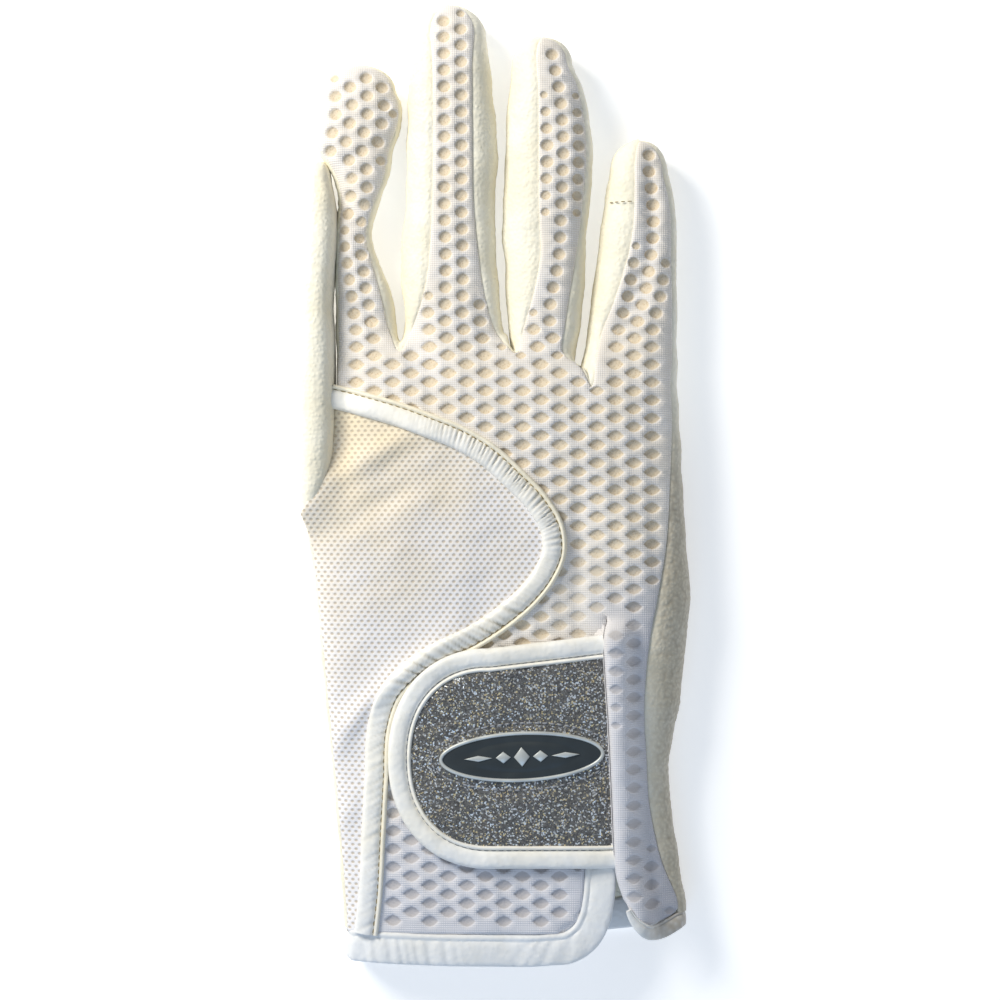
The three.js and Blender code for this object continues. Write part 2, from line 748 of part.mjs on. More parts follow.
// One station of the hem tape: where its middle is, which way is out, and its width
function tapeStation(x, y, z, out, width) {
  return { place: new THREE.Vector3(x, y, z), out: new THREE.Vector3(...out).normalize(), width }
}

// The tape round the whole wrist opening, from the slit round the palm to the flap
function hemTape() {
  const half = hemTapeThickness / 2
  const backCurve = new THREE.CatmullRomCurve3(
    hemPath.map((row) => new THREE.Vector3(acrossHand(row.across), upHand(row.up), 0)),
  )
  const stations = backCurve.getSpacedPoints(18).map((place) => {
    return tapeStation(place.x, place.y, topAt(place.x, place.y) - half / 2, [0, 0, 1], hemTapeWidth)
  })
  const leftX = acrossHand(-0.434)
  const leftY = upHand(0.029)
  const rightX = acrossHand(0.553)
  const rightY = upHand(0.079)
  const leftTop = topAt(leftX + meshInsetLeft, leftY) - half / 2
  const rightTop = flapTopAt(rightX - seamInset, rightY) - half / 2
  for (const turn of [0.35, 0.8, 1.25]) {
    const z = seamLevel + (leftTop - seamLevel) * Math.cos(turn)
    const x = leftX + half + (meshInsetLeft - half) * (1 - Math.sin(turn))
    stations.push(tapeStation(x, leftY, z, [-Math.sin(turn), 0, Math.cos(turn)], hemTapeWidth))
  }
  for (const turn of [1.75, 2.3, 2.8]) {
    const z = half + (seamLevel - half) * (1 + Math.cos(turn))
    const x = leftX + half + (palmInset - half) * (1 - Math.sin(turn))
    stations.push(tapeStation(x, leftY, z, [-Math.sin(turn), 0, Math.cos(turn)], hemTapeWidth))
  }
  for (const share of evenShares(6)) {
    const x = leftX + palmInset + 1 + (rightX - leftX - 2 * palmInset - 2) * share
    const y = leftY + (rightY - leftY) * share
    stations.push(tapeStation(x, y, half, [0, 0, -1], hemTapeWidth))
  }
  for (const turn of [2.8, 2.3, 1.75]) {
    const z = half + (seamLevel - half) * (1 + Math.cos(turn))
    const x = rightX - half - (palmInset - half) * (1 - Math.sin(turn))
    stations.push(tapeStation(x, rightY, z, [Math.sin(turn), 0, Math.cos(turn)], hemTapeWidth))
  }
  for (const turn of [1.25, 0.8]) {
    const z = seamLevel + (rightTop - seamLevel) * Math.cos(turn)
    const x = rightX - half - seamInset * (1 - Math.sin(turn)) * 0.5
    const width = hemTapeWidth + (flapTapeWidth - hemTapeWidth) * (1 - Math.sin(turn)) * 3
    stations.push(tapeStation(x, rightY, z, [Math.sin(turn), 0, Math.cos(turn)], width))
  }
  const flapCurve = new THREE.CatmullRomCurve3(
    flapTapePath.map((row) => new THREE.Vector3(acrossHand(row.across), upHand(row.up), 0)),
  )
  for (const place of flapCurve.getSpacedPoints(12).slice(1)) {
    const z = flapTopAt(place.x, place.y) - half / 2
    stations.push(tapeStation(place.x, place.y, z, [0, 0, 1], flapTapeWidth))
  }
  return shell([stations.map((station, i) => {
    const before = stations[Math.max(i - 1, 0)].place
    const after = stations[Math.min(i + 1, stations.length - 1)].place
    const ahead = after.clone().sub(before).normalize()
    const side = new THREE.Vector3().crossVectors(station.out, ahead).normalize()
    return [-0.5, -0.3, 0.3, 0.5].map((share) => {
      const middlePoint = station.place.clone().addScaledVector(side, share * station.width)
      const swell = half * (Math.abs(share) > 0.4 ? 0.6 : 1)
      return {
        outer: middlePoint.clone().addScaledVector(station.out, swell),
        inner: middlePoint.clone().addScaledVector(station.out, -swell),
      }
    })
  })])
}

// The closing tab: a panel with a round end on the left
const tab = {
  tip: -27.3, roundFrom: -1.5, end: 26.9, middleY: 52.7, half: 28, rise: 3.3, tongue: 3, tongueHalf: 23,
  roundness: 2.2,
}
const tabRaise = 2 * clearance + patchThickness
const patch = { left: -18, right: 20, low: 36, high: 70 }

function tabEdge(turn, inset) {
  const power = 2 / tab.roundness
  const cos = Math.pow(Math.abs(Math.cos(turn)), power)
  const sin = Math.pow(Math.abs(Math.sin(turn)), power) * Math.sign(Math.sin(turn))
  const reach = tab.roundFrom - tab.tip - inset
  return point2(tab.roundFrom - reach * cos, tab.middleY + (tab.half - inset) * sin)
}

function tabStraight(x, sign, inset) {
  const share = (x - tab.roundFrom) / (tab.end - tab.roundFrom)
  const lift = sign > 0 ? tab.rise * share : 0
  return point2(x, tab.middleY + sign * (tab.half - inset) + lift)
}

const tabTurns = [0.2, 0.45, 0.7, 0.95, 1.2, 1.42]
const tabRuns = [0, 0.25, 0.5, 0.75, 1]

function tabPanel() {
  const inset = tabTapeWidth + clearance
  const rows = tabTurns.map((turn) => [tabEdge(-turn, inset), tabEdge(turn, inset)])
  for (const share of tabRuns) {
    const x = tab.roundFrom + (tab.end - tab.roundFrom) * share
    rows.push([tabStraight(x, -1, inset), tabStraight(x, 1, inset)])
  }
  const tongueX = tab.end + tab.tongue
  rows.push([point2(tongueX, tab.middleY - tab.tongueHalf + 2), point2(tongueX, tab.middleY + tab.tongueHalf - 2)])
  return shell([rows.map(([from, to]) => rowBetween(topAt, from, to, evenShares(5), tabWall, tabRaise + tabWall))])
}

function tabTape() {
  const middleInset = tabTapeWidth / 2
  const top = tabRuns.map((share) => tab.end + (tab.roundFrom - tab.end) * share)
  const path = [
    ...top.map((x) => tabStraight(x, 1, middleInset)),
    ...[...tabTurns].reverse().map((turn) => tabEdge(turn, middleInset)),
    tabEdge(0, middleInset),
    ...tabTurns.map((turn) => tabEdge(-turn, middleInset)),
    ...[...top].reverse().map((x) => tabStraight(x, -1, middleInset)),
  ]
  return ribbon(path, tabTapeWidth, tabTapeThickness, tabRaise, topAt, 0)
}

function fastenerPatch() {
  const rows = evenShares(4).map((share) => {
    const x = patch.left + (patch.right - patch.left) * share
    const ends = [point2(x, patch.low), point2(x, patch.high)]
    return rowBetween(topAt, ...ends, evenShares(4), patchThickness, clearance + patchThickness)
  })
  return shell([rows])
}

// The bare oval badge and its rim, laid on the tab
const badgeX = 6.6
const badgeY = 53.3

function badgeEllipse(halfLength, halfWidth) {
  return new THREE.EllipseCurve(0, 0, halfLength, halfWidth).getSpacedPoints(28).slice(0, -1)
}

function layOnTab(geometry) {
  geometry.rotateZ(THREE.MathUtils.degToRad(badgeTilt))
  geometry.translate(badgeX, badgeY, 0)
  const position = geometry.attributes.position
  for (let i = 0; i < position.count; i += 1) {
    const under = topAt(position.getX(i), position.getY(i)) + tabRaise + tabWall + clearance
    position.setZ(i, position.getZ(i) + under)
  }
  return geometry
}

function badgePlate() {
  const outline = badgeEllipse(badgeLength / 2 - badgeRimWidth - clearance, badgeWidth / 2 - badgeRimWidth - clearance)
  const depth = badgeThickness * 0.7
  return layOnTab(new THREE.ExtrudeGeometry(new THREE.Shape(outline), { depth, bevelEnabled: false }))
}

function badgeRim() {
  const shape = new THREE.Shape(badgeEllipse(badgeLength / 2, badgeWidth / 2))
  shape.holes.push(new THREE.Path(badgeEllipse(badgeLength / 2 - badgeRimWidth, badgeWidth / 2 - badgeRimWidth)))
  return layOnTab(new THREE.ExtrudeGeometry(shape, { depth: badgeThickness, bevelEnabled: false }))
}

// Outline of the thumb seen from above, from its root to its tip
const thumbRows = table(['along', 'left', 'right', 'height'], [
  [0, -0.52, 0.44, 0.94],
  [0.19, -0.52, 0.45, 0.98],
  [0.32, -0.52, 0.43, 1],
  [0.47, -0.5, 0.42, 1],
  [0.6, -0.47, 0.37, 0.97],
  [0.74, -0.42, 0.46, 0.95],
  [0.82, -0.39, 0.48, 0.9],
  [0.88, -0.36, 0.42, 0.84],
  [0.94, -0.31, 0.3, 0.7],
])
const thumbRoundness = 2.6
const thumbSides = 14
const thumbSkewRun = 0.3
const thumbSkew = upHand(thumbSeamTop) - thumbRootY - clearance

// A ring of the thumb's section, slanted towards its root so that it opens into the hand
function thumbRing(along, shrink, heightShrink) {
  const left = thumbX + thumbWidth * follow(thumbRows, 'along', 'left', along)
  const right = thumbX + thumbWidth * follow(thumbRows, 'along', 'right', along)
  const tall = thumbHeight * follow(thumbRows, 'along', 'height', along)
  const half = (right - left) / 2
  const skew = Math.max(0, 1 - along / thumbSkewRun)
  const y = thumbRootY + thumbLength * along
  const ring = []
  for (let i = 0; i <= thumbSides; i += 1) {
    const turn = (i % thumbSides) / thumbSides * 2 * Math.PI
    const power = 2 / thumbRoundness
    const cos = Math.sign(Math.cos(turn)) * Math.pow(Math.abs(Math.cos(turn)), power)
    const sin = Math.sign(Math.sin(turn)) * Math.pow(Math.abs(Math.sin(turn)), power)
    const slide = skew * thumbSkew * Math.pow((1 + cos) / 2, 2.4)
    const at = (wall) => new THREE.Vector3(
      (left + right) / 2 + (half * shrink - wall) * cos,
      y + slide,
      tall / 2 + (tall / 2 * heightShrink - wall) * sin,
    )
    ring.push({ outer: at(0), inner: at(thumbWall) })
  }
  return ring
}

function thumbSolid() {
  const rings = evenShares(10).map((share) => thumbRing(0.94 * share, 1, 1))
  const tipRing = thumbRing(0.94, 0.62, 0.66)
  const tipReach = thumbLength * 0.045
  tipRing.forEach((pair) => {
    pair.outer.y += tipReach
    pair.inner.y += tipReach - 0.3
  })
  const last = thumbRing(0.94, 1, 1)
  const centre = last.slice(0, -1).reduce((sum, pair) => sum.add(pair.outer), new THREE.Vector3())
  centre.multiplyScalar(1 / thumbSides)
  const apex = {
    outer: centre.clone().setY(centre.y + thumbLength * 0.06),
    inner: centre.clone().setY(centre.y + thumbLength * 0.06 - thumbWall),
  }
  return shell([[...rings, tipRing, tipRing.map(() => apex)]])
}

// Finishes
const finish = (color, roughness, metalness = 0) => new THREE.MeshStandardMaterial({ color, roughness, metalness })
const honeycombMesh = finish(0xf1ece6, 0.85)
const fineMesh = finish(0xf3f0ea, 0.9)
const leather = finish(0xf7f2e4, 0.5)
const tapeLeather = finish(0xf6f4ee, 0.45)
const glitterFabric = finish(0x9a9a98, 0.5, 0.4)
const badgeRubber = finish(0x3c4144, 0.45)
const rimRubber = finish(0xc9cccb, 0.4)
const hookFastener = finish(0xe6e6e2, 0.95)

const pieces = [
  ['back_mesh', backMesh(), honeycombMesh],
  ['mesh_insert', meshInsert(), fineMesh],
  ['palm_leather', palmSolid(), leather],
  ['thumb_leather', thumbSolid(), leather],
  ['fourchette_index_middle', fourchette(index, middle, crotches[0]), leather],
  ['fourchette_middle_ring', fourchette(middle, ring, crotches[1]), leather],
  ['fourchette_ring_little', fourchette(ring, little, crotches[2]), leather],
  ['side_index', indexSide(), leather],
  ['side_wrist', wristSide(), leather],
  ['side_little', littleSide(), leather],
  ['seam_tape', seamTape(), tapeLeather],
  ['hem_tape', hemTape(), tapeLeather],
  ['tab_panel', tabPanel(), glitterFabric],
  ['tab_tape', tabTape(), tapeLeather],
  ['fastener_patch', fastenerPatch(), hookFastener],
  ['badge_plate', badgePlate(), badgeRubber],
  ['badge_rim', badgeRim(), rimRubber],
]

const group = new THREE.Group()
for (const [name, geometry, material] of pieces) {
  const mesh = new THREE.Mesh(geometry, material)
  mesh.name = name
  group.add(mesh)
}

// The origin is under the middle of the glove, on the surface that it lies on
const box = new THREE.Box3().setFromObject(group)
const centre = box.getCenter(new THREE.Vector3())
group.position.set(-centre.x, -centre.y, -box.min.z)
group.updateMatrixWorld(true)

export default group
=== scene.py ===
"""A right-hand riding glove lying on its palm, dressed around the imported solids."""

import logging
import math
from collections.abc import Callable, Iterator
from contextlib import contextmanager
from dataclasses import dataclass, field
from enum import Enum

import bpy
import numpy as np
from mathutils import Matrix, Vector
from mathutils.geometry import delaunay_2d_cdt

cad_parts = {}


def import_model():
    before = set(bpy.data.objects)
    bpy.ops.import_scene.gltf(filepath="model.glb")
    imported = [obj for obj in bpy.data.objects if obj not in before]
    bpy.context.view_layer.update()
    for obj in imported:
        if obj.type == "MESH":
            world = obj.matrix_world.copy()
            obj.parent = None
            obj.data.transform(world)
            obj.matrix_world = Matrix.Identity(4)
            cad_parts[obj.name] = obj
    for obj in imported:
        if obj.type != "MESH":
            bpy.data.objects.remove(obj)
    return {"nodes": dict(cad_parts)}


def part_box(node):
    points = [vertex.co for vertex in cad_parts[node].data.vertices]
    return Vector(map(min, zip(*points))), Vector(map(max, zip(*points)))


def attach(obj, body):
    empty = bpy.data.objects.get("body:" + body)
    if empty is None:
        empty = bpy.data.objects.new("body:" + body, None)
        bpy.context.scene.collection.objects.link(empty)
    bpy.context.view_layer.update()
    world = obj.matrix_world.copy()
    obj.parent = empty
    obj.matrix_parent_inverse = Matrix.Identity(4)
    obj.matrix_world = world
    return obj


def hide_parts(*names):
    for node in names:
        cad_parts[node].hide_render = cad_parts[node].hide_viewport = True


LOG = logging.getLogger("glove")
Array = np.ndarray
Material = bpy.types.Material
Piece = bpy.types.Object
Colour = tuple[float, ...]
MM = 0.001

# Sizes of the form, in millimetres.
PALM_WIDTH = 88.5
PALM_LENGTH = 157.0
SEAM_LEVEL = 6.5
CLEARANCE = 0.3
SEAM_INSET = 1.7
EDGE_INSET = 0.45
UNDERLAP = 0.9
PALM_INSET = 3.2
BACK_WALL = 1.6
SIDE_WALL = 1.1
HEM_SOLID = 7.3
SURFACE_BLEND = 1.1
KNUCKLE_LEVEL = 150
BORDER_SPACING = 1.1

# Levels and runs in shares of the palm's length, or of a finger's.
SLIT_TOP = 0.565
HEM_LEVEL = 0.0495
KNUCKLE_RUN = 0.36
TAB_END = 0.304
TAB_LEVEL = 0.336

# Where a stitched groove runs on a tape: share of its width and of its thickness.
GROOVE_SHARE = 0.29
GROOVE_HEIGHT = 0.32
BADGE_TILT = math.radians(2.5)


class Slot(Enum):
    """Material slots of the record, passed along with the pieces but not read."""

    HONEYCOMB = "honeycomb_mesh"
    FINE_MESH = "fine_mesh"
    LEATHER = "cream_leather"
    TAPE = "white_tape"
    GLITTER = "glitter_fabric"
    FASTENER = "hook_fastener"
    BADGE = "badge_grey"
    RIM = "badge_silver"


class Side(Enum):
    """The two sides of a finger, and which way each looks along x."""

    LEFT = -1
    RIGHT = 1


def across_hand(share: float | Array) -> float | Array:
    """Millimetres from the middle line for a share of the palm's width."""
    return share * PALM_WIDTH


def up_hand(share: float | Array) -> float | Array:
    """Millimetres from the hem for a share of the palm's length."""
    return share * PALM_LENGTH


def smooth_step(value: Array | float, low: float, high: float) -> Array:
    """Rises smoothly from 0 at low to 1 at high."""
    t = np.clip((np.asarray(value, float) - low) / (high - low), 0, 1)
    return t * t * (3 - 2 * t)


def unit(rows: Array) -> Array:
    """Directions at length 1, the last axis holding their coordinates."""
    return rows / np.maximum(np.linalg.norm(rows, axis=-1, keepdims=True), 1e-9)


def signed_power(value: Array, power: float) -> Array:
    """A power of the size that keeps the sign."""
    return np.sign(value) * np.abs(value) ** power


def crown_at(offset: Array, roundness: float) -> Array:
    """Height share of a rounded section at an offset from its middle."""
    q = np.minimum(np.abs(offset), 1)
    return np.power(1 - np.power(q, roundness), 1 / roundness)


def soft_noise(x: Array, y: Array, size: float, seed: int, waves: int = 7) -> Array:
    """Smooth random relief of about -1 to 1.

    Args:
        x: Places across, in millimetres.
        y: Places along, in millimetres.
        size: Rough length of one wave.
        seed: Number that the waves are drawn from.
        waves: How many plane waves are added.

    Returns:
        One value for each place.
    """
    draw = np.random.default_rng(seed)
    total = np.zeros(np.shape(x))
    for _ in range(waves):
        turn = draw.uniform(0, 2 * math.pi)
        pull = 2 * math.pi / (size * draw.uniform(0.7, 1.5))
        total = total + np.sin((x * math.cos(turn) + y * math.sin(turn)) * pull + draw.uniform(0, 6.3))
    return total / math.sqrt(2 * waves)


class Table:
    """Rows of named columns, read smoothly between the rows."""

    def __init__(self, names: str, rows: list[tuple[float, ...]]) -> None:
        """Keeps each column under its name; the first one is the key.

        Args:
            names: The columns' names, with spaces between.
            rows: Their values; the first column rises.
        """
        columns = np.array(rows, float).T
        self.columns = dict(zip(names.split(), columns))
        self.key = columns[0]

    def at(self, name: str, place: Array | float) -> Array:
        """Reads one column.

        Args:
            name: The column.
            place: Values of the key column.

        Returns:
            The column's values there, held at both ends.
        """
        key, value = self.key, self.columns[name]
        before = np.maximum(np.arange(len(key)) - 1, 0)
        after = np.minimum(np.arange(len(key)) + 1, len(key) - 1)
        slope = (value[after] - value[before]) / (key[after] - key[before])
        held = np.clip(place, key[0], key[-1])
        i = np.clip(np.searchsorted(key, held, side="left") - 1, 0, len(key) - 2)
        span = key[i + 1] - key[i]
        t = (held - key[i]) / span
        rise = t * t * (3 - 2 * t)
        bend = t * (1 - t) ** 2 * slope[i] - t * t * (1 - t) * slope[i + 1]
        return value[i] * (1 - rise) + value[i + 1] * rise + span * bend


def smooth_path(points: Array, spacing: float) -> Array:
    """Lays evenly spaced points on a smooth curve through given ones.

    Args:
        points: Rows of any number of columns.
        spacing: Distance wanted between the new points.

    Returns:
        The new rows, with the same first and last.
    """
    step = np.maximum(np.linalg.norm(np.diff(points, axis=0), axis=1), 1e-6)
    knots = np.concatenate([[0], np.cumsum(step)])
    pull = np.diff(points, axis=0) / step[:, None]
    slope = np.empty_like(points)
    slope[0], slope[-1] = pull[0], pull[-1]
    ahead, behind = step[1:, None], step[:-1, None]
    slope[1:-1] = (pull[1:] * behind + pull[:-1] * ahead) / (ahead + behind)
    fine = np.linspace(0, knots[-1], max(int(knots[-1] / spacing * 4), 8))
    i = np.clip(np.searchsorted(knots, fine, side="right") - 1, 0, len(step) - 1)
    span = step[i][:, None]
    t = ((fine - knots[i]) / step[i])[:, None]
    rise = t * t * (3 - 2 * t)
    bend = t * (1 - t) ** 2 * slope[i] - t * t * (1 - t) * slope[i + 1]
    curve = points[i] * (1 - rise) + points[i + 1] * rise + span * bend
    run = np.concatenate([[0], np.cumsum(np.linalg.norm(np.diff(curve, axis=0), axis=1))])
    wanted = np.linspace(0, run[-1], max(int(round(run[-1] / spacing)), 2) + 1)
    return np.column_stack([np.interp(wanted, run, column) for column in curve.T])


@dataclass(frozen=True)
class Finger:
    """One finger: its root, its size and its outline in shares of them."""

    name: str
    root_x: float
    root_y: float
    length: float
    width: float
    crown: float
    first: float
    rows: Table

    @property
    def last(self) -> float:
        """Share of the length after which the tip closes in a quarter ellipse."""
        return float(self.rows.key[-1])

    def x(self, name: str, along: Array | float) -> Array:
        """Place across of one of the outline's columns."""
        return self.root_x + self.width * self.rows.at(name, along)

    def span(self, along: Array | float) -> tuple[Array, Array]:
        """Middle and half width of the outline at shares of the length.

        Args:
            along: Shares of the finger's length.

        Returns:
            Places across, past the last row closing in a quarter ellipse.
        """
        held = np.minimum(along, self.last)
        left, right = self.x("left", held), self.x("right", held)
        past = np.clip((along - held) / (1 - self.last), 0, 1)
        return (left + right) / 2, (right - left) / 2 * np.sqrt(1 - past * past)

    def mesh_middle(self, along: float) -> float:
        """Middle of the back's mesh at a share of the length."""
        return float(self.x("back_left", along) + self.x("back_right", along)) / 2

    def height(self, x: Array, y: Array) -> Array:
        """Height of this finger's upper side at points seen from above.

        Args:
            x: Places across, in millimetres.
            y: Places along, in millimetres from the hem.

        Returns:
            Millimetres above the ground, or 0 beside the finger.
        """
        along = (y - self.root_y) / self.length
        middle, half = self.span(along)
        inside = (along >= -KNUCKLE_RUN) & (along <= 1) & (half > 0)
        into = np.where(along < 0, 1 - (along / KNUCKLE_RUN) ** 2, 1)
        tip = np.sqrt(1 - 0.75 * np.clip((along - 0.78) / 0.22, 0, 1) ** 2)
        rise = (self.crown - SEAM_LEVEL) * crown_at((x - middle) / np.maximum(half, 1e-6), 2.4)
        return np.where(inside, SEAM_LEVEL + rise * tip * into + (1 - into) * 2, 0)


FINGER_COLUMNS = "along left right back_left back_right"
INDEX = Finger(
    "index", across_hand(-0.374), up_hand(1), 72.9, across_hand(0.2475), 13.5, 0.05,
    Table(FINGER_COLUMNS, [
        (0, -0.36, 0.37, -0.34, 0.36), (0.09, -0.365, 0.34, -0.345, 0.26), (0.16, -0.37, 0.33, -0.35, 0.21),
        (0.27, -0.37, 0.19, -0.35, 0.12), (0.39, -0.36, 0.06, -0.34, 0.02), (0.51, -0.34, 0.14, -0.32, 0.12),
        (0.58, -0.37, 0.23, -0.35, 0.21), (0.64, -0.46, 0.28, -0.44, 0.26), (0.7, -0.59, 0.31, -0.57, 0.29),
        (0.76, -0.6, 0.38, -0.57, 0.36), (0.84, -0.56, 0.42, -0.53, 0.4), (0.91, -0.52, 0.34, -0.5, 0.32),
    ]),
)
MIDDLE = Finger(
    "middle", across_hand(-0.1265), up_hand(1), 88.2, across_hand(0.2655), 15.5, 0.05,
    Table(FINGER_COLUMNS, [
        (0, -0.52, 0.58, -0.5, 0.56), (0.08, -0.53, 0.55, -0.43, 0.45), (0.14, -0.53, 0.52, -0.33, 0.38),
        (0.24, -0.57, 0.49, -0.26, 0.32), (0.42, -0.51, 0.47, -0.22, 0.25), (0.57, -0.5, 0.5, -0.21, 0.24),
        (0.83, -0.46, 0.41, -0.22, 0.24), (0.91, -0.4, 0.37, -0.25, 0.26),
    ]),
)
RING = Finger(
    "ring", across_hand(0.15), up_hand(1.002), 79.6, across_hand(0.253), 15.5, -0.02,
    Table(FINGER_COLUMNS, [
        (0, -0.42, 0.33, -0.36, 0.18), (0.08, -0.45, 0.39, -0.27, 0.22), (0.14, -0.47, 0.41, -0.2, 0.25),
        (0.27, -0.49, 0.44, -0.09, 0.33), (0.34, -0.52, 0.44, -0.09, 0.37), (0.46, -0.51, 0.49, -0.11, 0.42),
        (0.62, -0.48, 0.52, -0.11, 0.46), (0.75, -0.47, 0.48, -0.11, 0.42), (0.85, -0.43, 0.39, -0.12, 0.34),
        (0.92, -0.4, 0.28, -0.14, 0.24),
    ]),
)
LITTLE = Finger(
    "little", across_hand(0.398), up_hand(0.937), 63.5, across_hand(0.2305), 14.5, 0.1,
    Table(FINGER_COLUMNS, [
        (0, -0.66, 0.56, -0.52, 0.5), (0.09, -0.65, 0.56, -0.49, 0.5), (0.22, -0.57, 0.56, -0.42, 0.5),
        (0.34, -0.53, 0.56, -0.26, 0.5), (0.5, -0.46, 0.55, -0.1, 0.5), (0.62, -0.41, 0.55, -0.02, 0.5),
        (0.74, -0.36, 0.53, 0.01, 0.46), (0.86, -0.3, 0.45, 0, 0.38),
    ]),
)
FINGERS = (INDEX, MIDDLE, RING, LITTLE)

RIGHT_SIDE = Table("up edge mesh", [
    (0.07, 0.553, 0.53), (0.1, 0.55, 0.53), (0.17, 0.53, 0.48), (0.26, 0.508, 0.446), (0.33, 0.505, 0.438),
    (0.42, 0.534, 0.43), (0.52, 0.553, 0.444), (0.6, 0.565, 0.47), (0.68, 0.554, 0.494), (0.8, 0.541, 0.507),
    (0.88, 0.533, 0.512), (0.94, 0.527, 0.51),
])
LEFT_SIDE = Table("up edge", [
    (0, -0.434), (0.1, -0.444), (0.2, -0.457), (0.33, -0.478), (0.46, -0.501), (0.57, -0.519), (0.67, -0.539),
    (0.73, -0.556),
])
UPPER_LEFT = -0.461
THUMB_SEAM_TOP = 0.84
THUMB_SEAM_FOOT = 0.73

SEAM_PATH = np.array([
    (-0.474, 0.921), (-0.428, 0.915), (-0.378, 0.907), (-0.277, 0.89), (-0.19, 0.872), (-0.098, 0.851),
    (-0.017, 0.823), (0.055, 0.786), (0.121, 0.747), (0.164, 0.701), (0.167, 0.669), (0.141, 0.633),
    (0.098, 0.601), (0.026, 0.565), (-0.061, 0.532), (-0.161, 0.505), (-0.239, 0.477), (-0.3, 0.44),
    (-0.331, 0.39), (-0.342, 0.3), (-0.352, 0.2), (-0.36, 0.117), (-0.373, HEM_LEVEL),
]) * (PALM_WIDTH, PALM_LENGTH)
FLAP_EDGE = Table("up edge", [
    (0.09, 0.378), (0.13, 0.352), (0.16, 0.34), (0.26, 0.331), (0.39, 0.32), (0.49, 0.308), (0.534, 0.306),
    (0.565, 0.317),
])
FLAP_HEM = np.array([
    (0.53, 0.088), (0.516, 0.08), (0.49, 0.073), (0.455, 0.0665), (0.42, 0.0695), (0.392, 0.083),
    (0.374, 0.103),
]) * (PALM_WIDTH, PALM_LENGTH)
HEM_CORNER = Table("up across", [(0.052, 0.265), (0.084, 0.288), (0.117, 0.297), (0.166, 0.302)])
CROTCHES = Table("notch_x notch_up web_x web_up land_x land_up", [
    (-0.277, 0.995, -0.276, 1.012, -0.276, 1.012), (0.032, 1.005, 0.033, 1.022, 0.033, 1.022),
    (0.271, 0.937, 0.238, 0.966, 0.229, 0.971),
])
FOLDS = [
    (-0.475, 1.27, -0.378, 1.18, -2.2, 3.2), (-0.455, 1.083, -0.32, 1.026, -1.4, 2.6),
    (0.445, 1.31, 0.446, 1.17, -1.8, 2.2), (0.446, 1.17, 0.372, 1.02, -1.6, 2.4),
    (-0.458, 0.79, -0.262, 0.852, 2, 3), (-0.435, 0.393, -0.104, 0.547, 1.6, 3),
    (-0.48, 0.7, -0.2, 0.79, -0.9, 3), (-0.49, 0.33, -0.36, 0.43, 1.2, 2.6), (-0.47, 0.2, -0.38, 0.3, 0.8, 3),
    (0.245, 0.77, 0.225, 0.56, -1.7, 3.6), (-0.27, 1.11, -0.17, 0.9, -1, 3.6),
    (0.36, 0.77, 0.42, 0.62, 0.9, 5),
]


